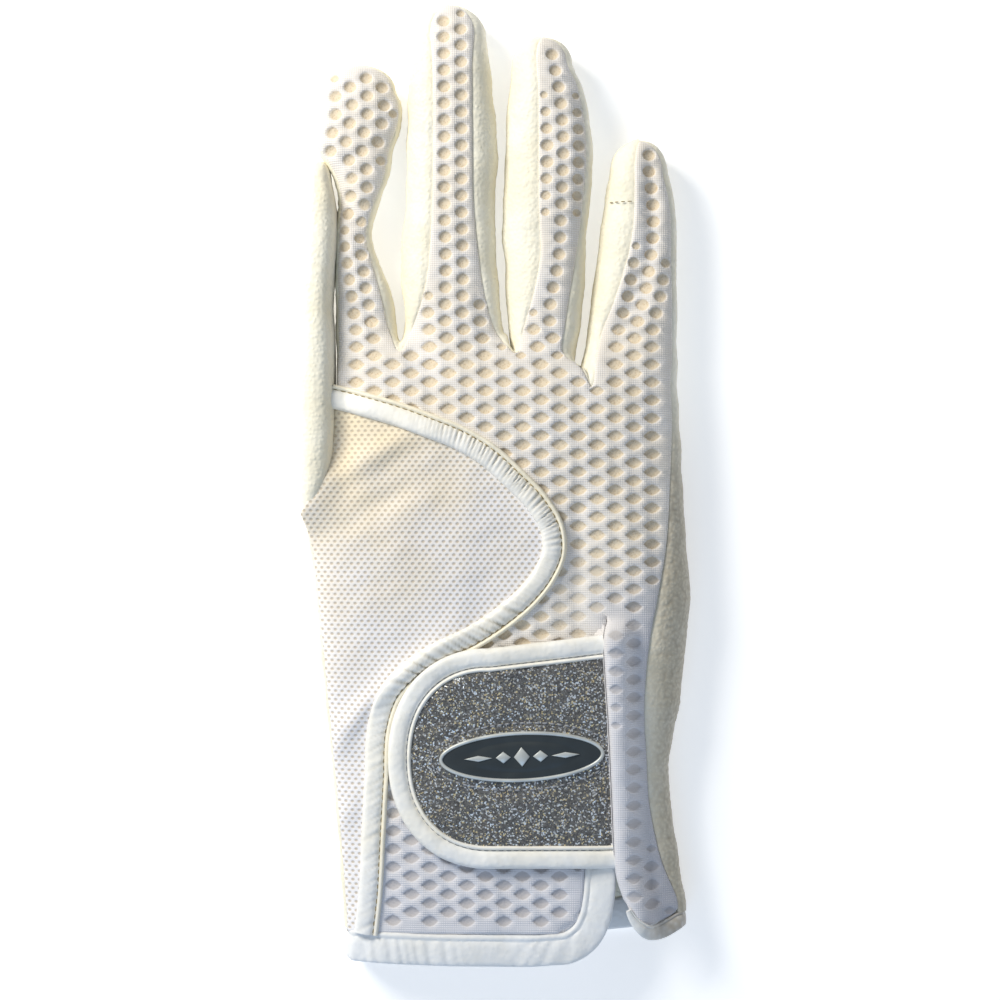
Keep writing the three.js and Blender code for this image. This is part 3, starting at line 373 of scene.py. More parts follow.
class GloveForm:
    """The glove's upper surface and outline, in millimetres from the hem's middle."""

    def __init__(self) -> None:
        """Lays the seam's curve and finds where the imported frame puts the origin."""
        self.seam_points = smooth_path(SEAM_PATH, 0.6)
        low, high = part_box("badge_rim")
        half_badge, aside = 20.9, 0.6
        self.badge = (across_hand(TAB_END) + aside - half_badge, up_hand(TAB_LEVEL) + aside)
        middle = ((low.x + high.x) / 2 / MM, (low.y + high.y) / 2 / MM)
        self.shift = np.array([middle[0] - self.badge[0], middle[1] - self.badge[1], 0])

    def placed(self, points: Array) -> Array:
        """Points in metres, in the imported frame."""
        return (np.asarray(points, float) + self.shift) * MM

    def hand_left(self, up: Array | float) -> Array:
        """The hand's left edge, from the hem to the first finger.

        Args:
            up: Shares of the palm's length.

        Returns:
            Places across; above the thumb's foot the edge swings in to the first finger.
        """
        foot = LEFT_SIDE.at("edge", THUMB_SEAM_FOOT)
        rise = np.clip((up - THUMB_SEAM_FOOT) / (THUMB_SEAM_TOP - THUMB_SEAM_FOOT), 0, 1)
        side = foot + (UPPER_LEFT - foot) * np.sin(rise * math.pi / 2)
        return across_hand(np.where(np.asarray(up) < THUMB_SEAM_FOOT, LEFT_SIDE.at("edge", up), side))

    def hand_right(self, up: Array | float) -> Array:
        """The hand's right edge at shares of the palm's length."""
        return across_hand(RIGHT_SIDE.at("edge", up))

    def mesh_right(self, up: Array | float) -> Array:
        """The right border of the back's mesh."""
        return np.minimum(across_hand(RIGHT_SIDE.at("mesh", up)), self.hand_right(up) - SEAM_INSET)

    def flap_x(self, y: Array | float) -> Array:
        """The wrist flap's folded edge at heights above the hem."""
        return across_hand(FLAP_EDGE.at("edge", np.asarray(y) / PALM_LENGTH))

    def seam_x(self, y: Array | float) -> Array:
        """Where the seam tape's middle line crosses a height above the hem."""
        points = self.seam_points[::-1]
        return np.interp(y, points[:, 1], points[:, 0])

    def hand_height(self, x: Array, y: Array) -> Array:
        """Height of the hand's crown at points seen from above.

        Args:
            x: Places across, in millimetres.
            y: Places along, in millimetres from the hem.

        Returns:
            Millimetres above the ground.
        """
        up = y / PALM_LENGTH
        left, right = self.hand_left(up), self.hand_right(np.minimum(up, 0.94))
        crown = 15.5 + 3.5 * smooth_step(up, 0.15, 0.75)
        closing = 27
        past = np.clip((y - (up_hand(1.04) - closing)) / closing, 0, 1)
        section = crown_at((x - (left + right) / 2) / ((right - left) / 2), 3)
        return SEAM_LEVEL + (crown - SEAM_LEVEL) * np.sqrt(1 - past * past) * section

    def fold_height(self, x: Array, y: Array) -> Array:
        """Height that the folds and dents add.

        Args:
            x: Places across, in millimetres.
            y: Places along, in millimetres from the hem.

        Returns:
            Millimetres to add, below 0 in a fold.
        """
        total = np.zeros(np.shape(x))
        for from_x, from_up, to_x, to_up, depth, width in FOLDS:
            start = np.array([across_hand(from_x), up_hand(from_up)])
            run = np.array([across_hand(to_x), up_hand(to_up)]) - start
            held = np.clip(((x - start[0]) * run[0] + (y - start[1]) * run[1]) / (run @ run), 0, 1)
            away = np.hypot(x - start[0] - run[0] * held, y - start[1] - run[1] * held)
            fade = 0.35 + 0.65 * np.sin(math.pi * np.clip(held, 0.05, 0.95))
            total = total + depth * fade * np.exp(-((away / width) ** 2))
        return total

    def top(self, x: Array, y: Array) -> Array:
        """Outer face of the glove's upper side, with the cloth's slight unevenness.

        Args:
            x: Places across, in millimetres.
            y: Places along, in millimetres from the hem.

        Returns:
            Millimetres above the ground, blended between the hand, the fingers and the thumb's foot.
        """
        x, y = np.asarray(x, float), np.asarray(y, float)
        foot_x, foot_y, foot_reach = x - across_hand(-0.52), y - up_hand(0.768), 15
        levels = [self.hand_height(x, y), *(finger.height(x, y) for finger in FINGERS)]
        levels.append(SEAM_LEVEL + 10.5 * np.exp(-(foot_x**2 + foot_y**2) / foot_reach**2))
        saddle = smooth_step(y, up_hand(0.74), up_hand(0.82))
        saddle = saddle * (1 - smooth_step(y, up_hand(0.94), up_hand(1.08)))
        levels.append(SEAM_LEVEL + 7.5 * saddle * np.exp(-(((x - across_hand(UPPER_LEFT)) / 7) ** 2)))
        total = sum(np.exp(level / SURFACE_BLEND) for level in levels)
        uneven = 0.22 * soft_noise(x, y, 17, 3) + 0.1 * soft_noise(x, y, 7, 5)
        return SURFACE_BLEND * np.log(total) + self.fold_height(x, y) + uneven

    def flap_top(self, x: Array, y: Array) -> Array:
        """The same surface with the wrist flap lifted over the tab.

        Args:
            x: Places across, in millimetres.
            y: Places along, in millimetres from the hem.

        Returns:
            Millimetres above the ground.
        """
        x, y = np.asarray(x, float), np.asarray(y, float)
        opened = smooth_step(up_hand(SLIT_TOP) - y, 0, 5)
        return self.top(x, y) + 5 * opened * (1 - smooth_step(x - self.flap_x(y), 3.5, 9.5))

    def back_top(self, x: Array, y: Array) -> Array:
        """The back's surface on both sides of the slit."""
        beyond = (y < up_hand(SLIT_TOP)) & (x > self.flap_x(y) - CLEARANCE)
        return np.where(beyond, self.flap_top(x, y), self.top(x, y))


def slope_of(surface: Callable, x: Array, y: Array, step: float = 0.4) -> tuple[Array, Array]:
    """Slopes of a surface along x and y.

    Args:
        surface: Height as a function of x and y.
        x: Places across, in millimetres.
        y: Places along, in millimetres from the hem.
        step: Distance to the places that are compared.

    Returns:
        Millimetres of rise to a millimetre.
    """
    along_x = (surface(x + step, y) - surface(x - step, y)) / (2 * step)
    along_y = (surface(x, y + step) - surface(x, y - step)) / (2 * step)
    return along_x, along_y


def on_surface(surface: Callable, x: Array, y: Array, offset: Array | float) -> Array:
    """Points moved off a surface along its own direction.

    Args:
        surface: Height as a function of x and y.
        x: Places across.
        y: Places along.
        offset: Millimetres outwards, or inwards where negative.

    Returns:
        One row of x, y and z for each place.
    """
    along_x, along_y = slope_of(surface, x, y)
    long = np.sqrt(1 + along_x**2 + along_y**2)
    lean = offset * np.minimum(1, 1.6 / long) / long
    return np.column_stack([x - along_x * lean, y - along_y * lean, surface(x, y) + lean])


def wall_drop(surface: Callable, x: Array, y: Array, wall: Array | float) -> Array:
    """Depth below a surface that leaves a wall of one thickness on a slope."""
    along_x, along_y = slope_of(surface, x, y)
    return wall * np.minimum(np.sqrt(1 + along_x**2 + along_y**2), 1.7)


@dataclass
class Border:
    """Matching rows of points along one side: silhouette, back's edge and palm's edge."""

    edge: Array
    seam: Array
    palm: Array

    def reversed(self) -> "Border":
        """The same rows from the other end."""
        return Border(self.edge[::-1], self.seam[::-1], self.palm[::-1])

    def then(self, other: "Border") -> "Border":
        """These rows with another border's after them."""
        pairs = zip((self.edge, self.seam, self.palm), (other.edge, other.seam, other.palm))
        return Border(*(np.vstack(pair) for pair in pairs))

    def resampled(self, spacing: float) -> "Border":
        """The same border with even, closer rows."""
        rows = smooth_path(np.hstack([self.edge, self.seam, self.palm]), spacing * 1.7)
        return Border(rows[:, :2], rows[:, 2:4], rows[:, 4:])


def finger_border(finger: Finger, side: Side) -> Border:
    """The border of one side of a finger, from its root to its tip.

    Args:
        finger: The finger.
        side: The side of the finger or hand.

    Returns:
        The shaft's rows and then the tip's quarter ellipse.
    """
    sign = side.value
    count = 18 if finger is INDEX else 13
    along = np.linspace(finger.first, finger.last, count)
    y = finger.root_y + finger.length * along
    edge = finger.x(side.name.lower(), along)
    seam = finger.x("back_" + side.name.lower(), along)
    inset = EDGE_INSET if finger is INDEX else 1.2
    seam = np.minimum(seam, edge - inset) if sign > 0 else np.maximum(seam, edge + inset)
    inset = np.minimum(PALM_INSET, 0.6 * finger.span(along)[1])
    shaft = Border(*(np.column_stack([x, y]) for x in (edge, seam, edge - sign * inset)))
    middle = float(finger.span(finger.last)[0])
    reach = finger.length * (1 - finger.last)
    turn = np.linspace(0, math.pi / 2, 9)[1:]
    tip = []
    for row, inset_end in ((shaft.edge[-1], 0), (shaft.seam[-1], EDGE_INSET), (shaft.palm[-1], PALM_INSET)):
        half = np.maximum(sign * (row[0] - middle) * np.cos(turn), CLEARANCE / 2)
        tip.append(np.column_stack([middle + sign * half, row[1] + (reach - inset_end) * np.sin(turn)]))
    return shaft.then(Border(*tip))


def crotch_border(i: int) -> Border:
    """The one or two rows of a fourchette round the web between two fingers.

    Args:
        i: Number of the web, from the first finger's side.

    Returns:
        The rows in the order from the one finger to the next.
    """
    columns = CROTCHES.columns
    seam, web, land = (
        np.array([across_hand(columns[name + "_x"][i]), up_hand(columns[name + "_up"][i])])
        for name in ("notch", "web", "land")
    )
    down = np.array([0, -PALM_INSET])
    border = Border(web[None], seam[None], (web + down)[None])
    if np.linalg.norm(land - web) > CLEARANCE:
        between = seam + (land - seam) * 0.55 + 2 * CLEARANCE
        border = Border(land[None], between[None], (land + down)[None]).then(border)
    return border


def hand_border(edge: Array, seam: Array, up: Array, side: Side) -> Border:
    """A border of the hand between two levels.

    Args:
        edge: Places across of the silhouette.
        seam: Places across of the back's edge.
        up: Shares of the palm's length.
        side: The side of the finger or hand.

    Returns:
        Its rows from the lower level to the upper.
    """
    y = up_hand(np.asarray(up, float))
    rows = (edge, seam, edge - side.value * PALM_INSET)
    return Border(*(np.column_stack([np.broadcast_to(x, y.shape), y]) for x in rows))


class Borders:
    """All the seams between the back's mesh and the leather of the sides."""

    def __init__(self, form: GloveForm) -> None:
        """Builds the borders in order from the thumb's side to the little finger's, and then the wrist's.

        Args:
            form: The glove's form.
        """
        up = np.array([0.9, 0.925, 0.96, 0.99])
        edge = across_hand(UPPER_LEFT)
        hand = hand_border(edge, edge + EDGE_INSET, up, Side.LEFT)
        self.index = hand.then(finger_border(INDEX, Side.LEFT)).resampled(BORDER_SPACING)
        self.webs = []
        for i in range(3):
            down = finger_border(FINGERS[i], Side.RIGHT).reversed()
            rise = finger_border(FINGERS[i + 1], Side.LEFT)
            self.webs.append(down.then(crotch_border(i)).then(rise).resampled(BORDER_SPACING))
        up = np.concatenate([np.linspace(0.082, 0.565, 23), np.linspace(0.59, 0.94, 14)])
        hand = hand_border(form.hand_right(up), form.mesh_right(up), up, Side.RIGHT)
        self.little = hand.then(finger_border(LITTLE, Side.RIGHT)).resampled(BORDER_SPACING)
        up = np.linspace(0.056, THUMB_SEAM_FOOT - 0.012, 30)
        edge = form.hand_left(up)
        self.wrist = hand_border(edge, edge + 0.6, up, Side.LEFT)


def inside_outline(points: Array, outline: Array) -> Array:
    """Which points lie inside a closed outline.

    Args:
        points: Points seen from above.
        outline: Closed border seen from above, anticlockwise.

    Returns:
        True for each point inside.
    """
    start, end = outline, np.roll(outline, -1, axis=0)
    within = np.zeros(len(points), bool)
    for chunk in np.array_split(np.arange(len(points)), max(1, len(points) // 2000)):
        x, y = points[chunk, 0][:, None], points[chunk, 1][:, None]
        spans = (start[:, 1] > y) != (end[:, 1] > y)
        rise = np.where(end[:, 1] == start[:, 1], 1e-9, end[:, 1] - start[:, 1])
        cross = start[:, 0] + (y - start[:, 1]) * (end[:, 0] - start[:, 0]) / rise
        within[chunk] = (np.sum(spans & (x < cross), axis=1) % 2) == 1
    return within


def outline_distance(points: Array, outline: Array) -> Array:
    """Distance from each point to the nearest stretch of a closed outline.

    Args:
        points: Points seen from above.
        outline: Closed border seen from above, anticlockwise.

    Returns:
        Millimetres.
    """
    start = outline
    run = np.roll(outline, -1, axis=0) - start
    square = np.maximum(np.sum(run * run, axis=1), 1e-12)
    nearest = np.empty(len(points))
    for chunk in np.array_split(np.arange(len(points)), max(1, len(points) // 2000)):
        away = points[chunk][:, None, :] - start[None]
        held = np.clip(np.sum(away * run, axis=2) / square, 0, 1)
        nearest[chunk] = np.min(np.linalg.norm(away - held[..., None] * run, axis=2), axis=1)
    return nearest


def near_border(points: Array, outline: Array, reach: float) -> Array:
    """How near points lie to an outline: 1 on it, falling to 0 at a reach."""
    return np.clip(1 - outline_distance(points, outline) / reach, 0, 1)


def joined_outline(rows: list[Array], least: float) -> Array:
    """Rows of points as one anticlockwise outline.

    Args:
        rows: Stretches of the outline, clockwise.
        least: Gap to the next point below which a point is left out.

    Returns:
        The outline's points.
    """
    path = np.vstack(rows)
    gaps = np.linalg.norm(np.roll(path, -1, axis=0) - path, axis=1)
    return path[gaps > least][::-1]


def fill_points(outline: Array, pitch: float, keep_off: float) -> Array:
    """A staggered grid of points inside an outline, kept off its border.

    Args:
        outline: Closed border seen from above, anticlockwise.
        pitch: Distance between the points.
        keep_off: Least distance from the border.

    Returns:
        The points.
    """
    low, high = outline.min(0), outline.max(0)
    ys = np.arange(low[1], high[1], pitch * 0.87)
    xs = np.arange(low[0], high[0], pitch)
    grid = np.array([(x + (i % 2) * pitch / 2, y) for i, y in enumerate(ys) for x in xs])
    grid = grid[inside_outline(grid, outline)]
    return grid[outline_distance(grid, outline) > keep_off]


def inner_band(outline: Array, inset: float) -> Array:
    """Points that follow an outline inside it.

    Args:
        outline: Closed border seen from above, anticlockwise.
        inset: Distance from the outline.

    Returns:
        The points, without those that come too close to another stretch.
    """
    ahead = unit(np.roll(outline, -1, axis=0) - np.roll(outline, 1, axis=0))
    band = outline + inset * np.column_stack([-ahead[:, 1], ahead[:, 0]])
    band = band[inside_outline(band, outline)]
    return band[outline_distance(band, outline) > inset * 0.9]


def triangulated(
    outline: Array, inner: Array, edges: list[tuple[int, int]],
) -> tuple[Array, list[list[int]], list[int]]:
    """Triangles over an outline and the points inside it.

    Args:
        outline: Closed border, in order.
        inner: Points inside it.
        edges: Pairs of numbers of inner points that stay joined.

    Returns:
        The points, the triangles and, for each point, its number in outline and inner, or -1.
    """
    count = len(outline)
    points = [Vector(point) for point in np.vstack([outline, inner])]
    ring = [(i, (i + 1) % count) for i in range(count)]
    joined = ring + [(a + count, b + count) for a, b in edges]
    verts, _, faces, source, _, _ = delaunay_2d_cdt(points, joined, [], 1, 1e-5)
    return np.array([tuple(v) for v in verts]), faces, [found[0] if found else -1 for found in source]


def closed_sheet(
    outline: Array, inner: Array, edges: list[tuple[int, int]], low_pitch: float,
    over: Callable, under: Callable,
) -> tuple[Array, list[list[int]], Array]:
    """A closed sheet between an upper and a lower face over one outline.

    Args:
        outline: Closed border seen from above, anticlockwise.
        inner: Points of the upper face inside it.
        edges: Pairs of inner points that stay joined.
        low_pitch: Spacing of the lower face's points.
        over: Gives the upper face's points from x, y and their source numbers.
        under: Gives the lower face's points from x and y.

    Returns:
        Points, faces and, for each point, the number of its source, or -1.
    """
    flat, faces, source = triangulated(outline, inner, edges)
    low_inner = fill_points(outline, low_pitch, low_pitch * 0.5)
    low_flat, low_faces, low_source = triangulated(outline, low_inner, [])
    top = over(flat, np.array(source))
    bottom = under(low_flat)
    low_number = {src: i for i, src in enumerate(low_source) if 0 <= src < len(outline)}
    count = len(top)
    sides = dict.fromkeys(pair for face in faces for pair in zip(face, face[1:] + face[:1]))
    walls = []
    for a, b in sides:
        if (b, a) in sides:
            continue
        low_a, low_b = low_number[source[a]], low_number[source[b]]
        walls.append([b, a, low_a + count, low_b + count])
    lower = [[i + count for i in reversed(face)] for face in low_faces]
    numbers = np.concatenate([source, np.full(len(bottom), -1)])
    return np.vstack([top, bottom]), [*faces, *lower, *walls], numbers


def swept(sections: Array) -> tuple[Array, list[list[int]]]:
    """A closed tube through a row of closed sections, with a fan at each end.

    Args:
        sections: Stations, points round each section and x, y, z.

    Returns:
        Points and faces.
    """
    count, around, _ = sections.shape
    number = np.arange(count * around).reshape(count, around).tolist()
    sides = [(j, (j + 1) % around) for j in range(around)]
    faces = [[a[j], a[k], b[k], b[j]] for a, b in zip(number, number[1:]) for j, k in sides]
    points = np.vstack([sections.reshape(-1, 3), sections[0].mean(0), sections[-1].mean(0)])
    first, last = len(points) - 2, len(points) - 1
    for j, k in sides:
        faces.append([number[0][k], number[0][j], first])
        faces.append([number[-1][j], number[-1][k], last])
    return points, faces


class Workshop:
    """Makes the glove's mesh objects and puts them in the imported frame."""

    def __init__(self, form: GloveForm) -> None:
        """Keeps the form whose frame the pieces go to."""
        self.form = form

    def piece(
        self, name: str, points: Array, faces: list[list[int]], finish: Material, slot: Slot,
        replaces: tuple[str, ...] = (), marks: dict[str, Array] | None = None,
    ) -> Piece:
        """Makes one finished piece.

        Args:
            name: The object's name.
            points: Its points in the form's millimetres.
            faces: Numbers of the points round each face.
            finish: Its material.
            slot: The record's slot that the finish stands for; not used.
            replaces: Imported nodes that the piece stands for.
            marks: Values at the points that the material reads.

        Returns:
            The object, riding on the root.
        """
        mesh = bpy.data.meshes.new(name)
        mesh.from_pydata(self.form.placed(points).tolist(), [], faces)
        mesh.validate()
        for mark, values in (marks or {}).items():
            attribute = mesh.attributes.new(mark, "FLOAT", "POINT")
            attribute.data.foreach_set("value", np.asarray(values, np.float32))
        piece = bpy.data.objects.new(name, mesh)
        bpy.context.scene.collection.objects.link(piece)
        return self.dress(piece, finish, replaces)

    def sheet(
        self, name: str, outline: Array, inner: Array, low_pitch: float, over: Callable, under: Callable,
        finish: Material, slot: Slot, node: str,
    ) -> Piece:
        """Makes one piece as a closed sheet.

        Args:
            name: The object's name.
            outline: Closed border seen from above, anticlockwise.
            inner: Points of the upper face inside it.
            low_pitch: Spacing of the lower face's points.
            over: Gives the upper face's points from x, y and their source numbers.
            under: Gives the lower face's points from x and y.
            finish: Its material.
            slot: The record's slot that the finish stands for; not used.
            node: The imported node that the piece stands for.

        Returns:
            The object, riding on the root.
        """
        points, faces, _ = closed_sheet(outline, inner, [], low_pitch, over, under)
        return self.piece(name, points, faces, finish, slot, (node,))

    def dress(self, piece: Piece, finish: Material, replaces: tuple[str, ...] = ()) -> Piece:
        """Turns the faces outwards, smooths them and gives the piece its finish and body.

        Args:
            piece: The object.
            finish: Its material.
            replaces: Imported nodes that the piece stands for.

        Returns:
            The object.
        """
        select_only(piece)
        with editing():
            bpy.ops.mesh.normals_make_consistent(inside=False)
            bpy.ops.mesh.select_all(action="DESELECT")
        bpy.ops.object.shade_smooth_by_angle(angle=math.radians(60))
        piece.data.materials.clear()
        piece.data.materials.append(finish)
        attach(piece, "root")
        if replaces:
            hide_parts(*replaces)
        LOG.info("%s: %d points, %d faces", piece.name, len(piece.data.vertices), len(piece.data.polygons))
        return piece


@contextmanager
def editing() -> Iterator[None]:
    """Edit mode with the whole mesh selected, for as long as the block runs.

    Yields:
        Nothing.
    """
    bpy.ops.object.mode_set(mode="EDIT")
    bpy.ops.mesh.select_all(action="SELECT")
    yield
    bpy.ops.object.mode_set(mode="OBJECT")


def extrude(height: float) -> None:
    """Draws the selected faces up by so many millimetres."""
    bpy.ops.mesh.extrude_region_move(TRANSFORM_OT_translate={"value": (0, 0, height * MM)})


def select_only(piece: Piece) -> None:
    """Selects one object and makes it the active one.

    Args:
        piece: The object.
    """
    bpy.ops.object.select_all(action="DESELECT")
    piece.select_set(True)
    bpy.context.view_layer.objects.active = piece


def linear(red: int, green: int, blue: int) -> tuple[float, float, float, float]:
    """The shader's colour for an 8-bit display colour."""
    levels = (red, green, blue)
    return (*(((v / 255 + 0.055) / 1.055) ** 2.4 if v > 10 else v / 255 / 12.92 for v in levels), 1.0)


def dimmed(colour: Colour, share: float) -> Colour:
    """A share of a colour's light."""
    return tuple(share * v for v in colour[:3]) + (1.0,)


class Value:
    """A socket that takes part in sums; each operation adds its Math node."""

    def __init__(self, shader: "Shader", socket: bpy.types.NodeSocket) -> None:
        """Keeps the socket and the shader that it belongs to."""
        self.shader = shader
        self.socket = socket

    def math(self, operation: str, *others: "Value | float", swap: bool = False) -> "Value":
        """A Math node on this value and others.

        Args:
            operation: The node's operation.
            others: Its other inputs.
            swap: Whether this value comes last.

        Returns:
            The result.
        """
        values = [self, *others]
        if swap:
            values.reverse()
        node = self.shader.node("ShaderNodeMath", {"operation": operation}, dict(enumerate(values)))
        return Value(self.shader, node.outputs[0])

    def __add__(self, other: "Value | float") -> "Value":
        """The sum."""
        return self.math("ADD", other)

    __radd__ = __add__

    def __sub__(self, other: "Value | float") -> "Value":
        """The difference."""
        return self.math("SUBTRACT", other)

    def __rsub__(self, other: float) -> "Value":
        """The difference from a number."""
        return self.math("SUBTRACT", other, swap=True)

    def __mul__(self, other: "Value | float") -> "Value":
        """The product."""
        return self.math("MULTIPLY", other)

    __rmul__ = __mul__

    def __truediv__(self, other: "Value | float") -> "Value":
        """The quotient."""
        return self.math("DIVIDE", other)

    def __rtruediv__(self, other: float) -> "Value":
        """A number divided by this value."""
        return self.math("DIVIDE", other, swap=True)

    def __pow__(self, other: "Value | float") -> "Value":
        """The power."""
        return self.math("POWER", other)

    def step(self, low: float, high: float) -> "Value":
        """A smooth rise from 0 at low to 1 at high.

        Args:
            low: Value at which it leaves 0.
            high: Value at which it reaches 1.

        Returns:
            The result.
        """
        node = self.shader.node(
            "ShaderNodeMapRange", {"interpolation_type": "SMOOTHSTEP"},
            {"Value": self, "From Min": low, "From Max": high},
        )
        return Value(self.shader, node.outputs[0])


class Shader:
    """The node tree of one material."""

    def __init__(self, name: str) -> None:
        """Starts an empty material.

        Args:
            name: The material's name.
        """
        self.material = bpy.data.materials.new(name)
        self.material.use_nodes = True
        self.tree = self.material.node_tree
        self.tree.nodes.clear()
        self.place = self.node("ShaderNodeTexCoord", {}, {}).outputs["Object"]

    def node(
        self, kind: str, settings: dict[str, object], sockets: dict[str | int, object],
    ) -> bpy.types.Node:
        """Adds one node.

        Args:
            kind: The node's type.
            settings: Its own settings, set first; stops are a ramp's places and colours.
            sockets: Values or links of its inputs, by name or number.

        Returns:
            The node.
        """
        node = self.tree.nodes.new(kind)
        for key, value in settings.items():
            if key == "stops":
                ramp = node.color_ramp
                while len(ramp.elements) < len(value):
                    ramp.elements.new(0.5)
                for element, (place, colour) in zip(ramp.elements, value):
                    element.position, element.color = place, colour
            else:
                setattr(node, key, value)
        for key, value in sockets.items():
            socket = value.socket if isinstance(value, Value) else value
            if isinstance(socket, bpy.types.NodeSocket):
                self.tree.links.new(socket, node.inputs[key])
            else:
                node.inputs[key].default_value = socket
        return node

    def value(self, node: bpy.types.Node, output: str | int = 0) -> Value:
        """One output of a node as a value."""
        return Value(self, node.outputs[output])

    def axes(self) -> tuple[Value, Value, Value]:
        """Object coordinates in millimetres."""
        node = self.node("ShaderNodeSeparateXYZ", {}, {0: self.place})
        return tuple(self.value(node, i) * 1000 for i in range(3))

    def mark(self, name: str) -> Value:
        """A value stored at the mesh's points."""
        return self.value(self.node("ShaderNodeAttribute", {"attribute_name": name}, {}), "Fac")

    def noise(self, pitch: float, detail: float = 3, roughness: float = 0.5) -> Value:
        """Noise whose features are about a pitch of millimetres apart."""
        sockets = {"Vector": self.place, "Scale": 1000 / pitch, "Detail": detail, "Roughness": roughness}
        return self.value(self.node("ShaderNodeTexNoise", {}, sockets), "Fac")

    def cells(self, pitch: float, feature: str = "F1") -> bpy.types.Node:
        """A Voronoi node with cells of a pitch in millimetres."""
        sockets = {"Vector": self.place, "Scale": 1000 / pitch}
        return self.node("ShaderNodeTexVoronoi", {"feature": feature}, sockets)

    def mix(self, factor: Value | float, low: object, high: object) -> bpy.types.NodeSocket:
        """A colour between two."""
        sockets = {"Factor": factor, 6: low, 7: high}
        return self.node("ShaderNodeMix", {"data_type": "RGBA"}, sockets).outputs[2]

    def bump(self, height: Value, distance: float, strength: float = 1.0) -> bpy.types.NodeSocket:
        """The normal of a height of so many millimetres."""
        sockets = {"Height": height, "Distance": distance * MM, "Strength": strength}
        return self.node("ShaderNodeBump", {}, sockets).outputs[0]

    def finished(self, sockets: dict[str, object]) -> Material:
        """Ends the tree in a surface with these inputs.

        Args:
            sockets: Values or links of the Principled node's inputs.

        Returns:
            The material.
        """
        surface = self.node("ShaderNodeBsdfPrincipled", {}, sockets)
        self.node("ShaderNodeOutputMaterial", {}, {"Surface": surface.outputs[0]})
        return self.material


@dataclass(frozen=True)
class HoneycombFinish:
    """Knitted mesh with open cells over a tan lining."""

    ridge: Colour = linear(242, 239, 238)
    ridge_low: Colour = linear(224, 218, 210)
    ridge_warm: Colour = linear(232, 222, 206)
    ridge_painted_cool_light: Colour = linear(216, 217, 226)
    ridge_shaded: Colour = linear(160, 160, 168)
    floor: Colour = linear(206, 186, 156)
    floor_dot: Colour = linear(222, 208, 184)
    floor_painted_cool_light: Colour = linear(180, 178, 184)
    floor_shaded: Colour = linear(138, 134, 136)
    knit: float = 0.56

    def build(self) -> Material:
        """Knitted ridges and dotted floors, told apart by the mesh's cell mark.

        Returns:
            The material.
        """
        shader = Shader("honeycomb_mesh")
        x, y, _ = shader.axes()
        flap = x.step(21, 31) * (-1 * y).step(14, 46)
        depth = (shader.mark("cell") * 1.3).step(0.1, 1.15)
        rows = (y * (2 * math.pi / self.knit)).math("SINE")
        columns = (x * (2 * math.pi / self.knit)).math("SINE")
        weave = rows * 0.6 + columns * 0.4
        dots = shader.value(shader.cells(0.55), "Distance")
        cloud = shader.noise(9)
        # Painted cool light: ridges and floors turn bluish grey on the flap and towards the cuff.
        cool = 1 - (1 - flap) * (1 - (-1 * y).step(60, 98))
        floor = shader.mix(dots.step(0.1, 0.45), self.floor, self.floor_dot)
        floor = shader.mix(cool * 0.85, floor, self.floor_painted_cool_light)
        ridge = shader.mix(weave * 0.5 + 0.5, self.ridge_low, self.ridge)
        ridge = shader.mix(cloud.step(0.3, 0.7) * 0.5, ridge, self.ridge_warm)
        ridge = shader.mix(cool * 0.75, ridge, self.ridge_painted_cool_light)
        shaded = x.step(32, 45) * (-1 * y).step(10, 40)
        ridge = shader.mix(shaded * 0.6, ridge, self.ridge_shaded)
        floor = shader.mix(shaded * 0.6, floor, self.floor_shaded)
        colour = shader.mix(depth, ridge, floor)
        height = weave * (1 - depth) * 0.5 + dots * depth
        return shader.finished({
            "Base Color": colour, "Roughness": 0.82, "Sheen Weight": 0.15, "Specular IOR Level": 0.3,
            "Normal": shader.bump(height, 0.12, 0.8),
        })


@dataclass(frozen=True)
class FineMeshFinish:
    """Close mesh with staggered holes that show a beige lining."""

    column: float = 1.73
    row: float = 1.12
    ground: Colour = linear(240, 238, 240)
    ground_painted_warm_light: Colour = linear(238, 224, 196)
    hole: Colour = linear(194, 178, 154)

    def build(self) -> Material:
        """Staggered holes in rows across the hand.

        Returns:
            The material.
        """
        shader = Shader("fine_mesh")
        x, y, _ = shader.axes()
        rows = y / self.row
        odd = (rows.math("FLOOR") * 0.5).math("FRACT")
        along = ((x / self.column + odd).math("FRACT") - 0.5) * self.column
        up = (rows.math("FRACT") - 0.5) * self.row
        away = (along * along * 0.8 + up * up * 1.25).math("SQRT")
        hole = 1 - away.step(0.14, 0.6)
        cloud = shader.noise(14)
        # Painted warm light: the ground turns warmer towards the upper left.
        warm = (y * 0.8 - x * 0.5 + cloud * 60).step(0, 72)
        ground = shader.mix(warm, self.ground, self.ground_painted_warm_light)
        colour = shader.mix(hole * 0.8, ground, self.hole)
        grain = shader.noise(0.35, 1)
        return shader.finished({
            "Base Color": colour, "Roughness": 0.85, "Sheen Weight": 0.15, "Specular IOR Level": 0.3,
            "Normal": shader.bump(grain * 0.25 - hole, 0.16, 0.9),
        })


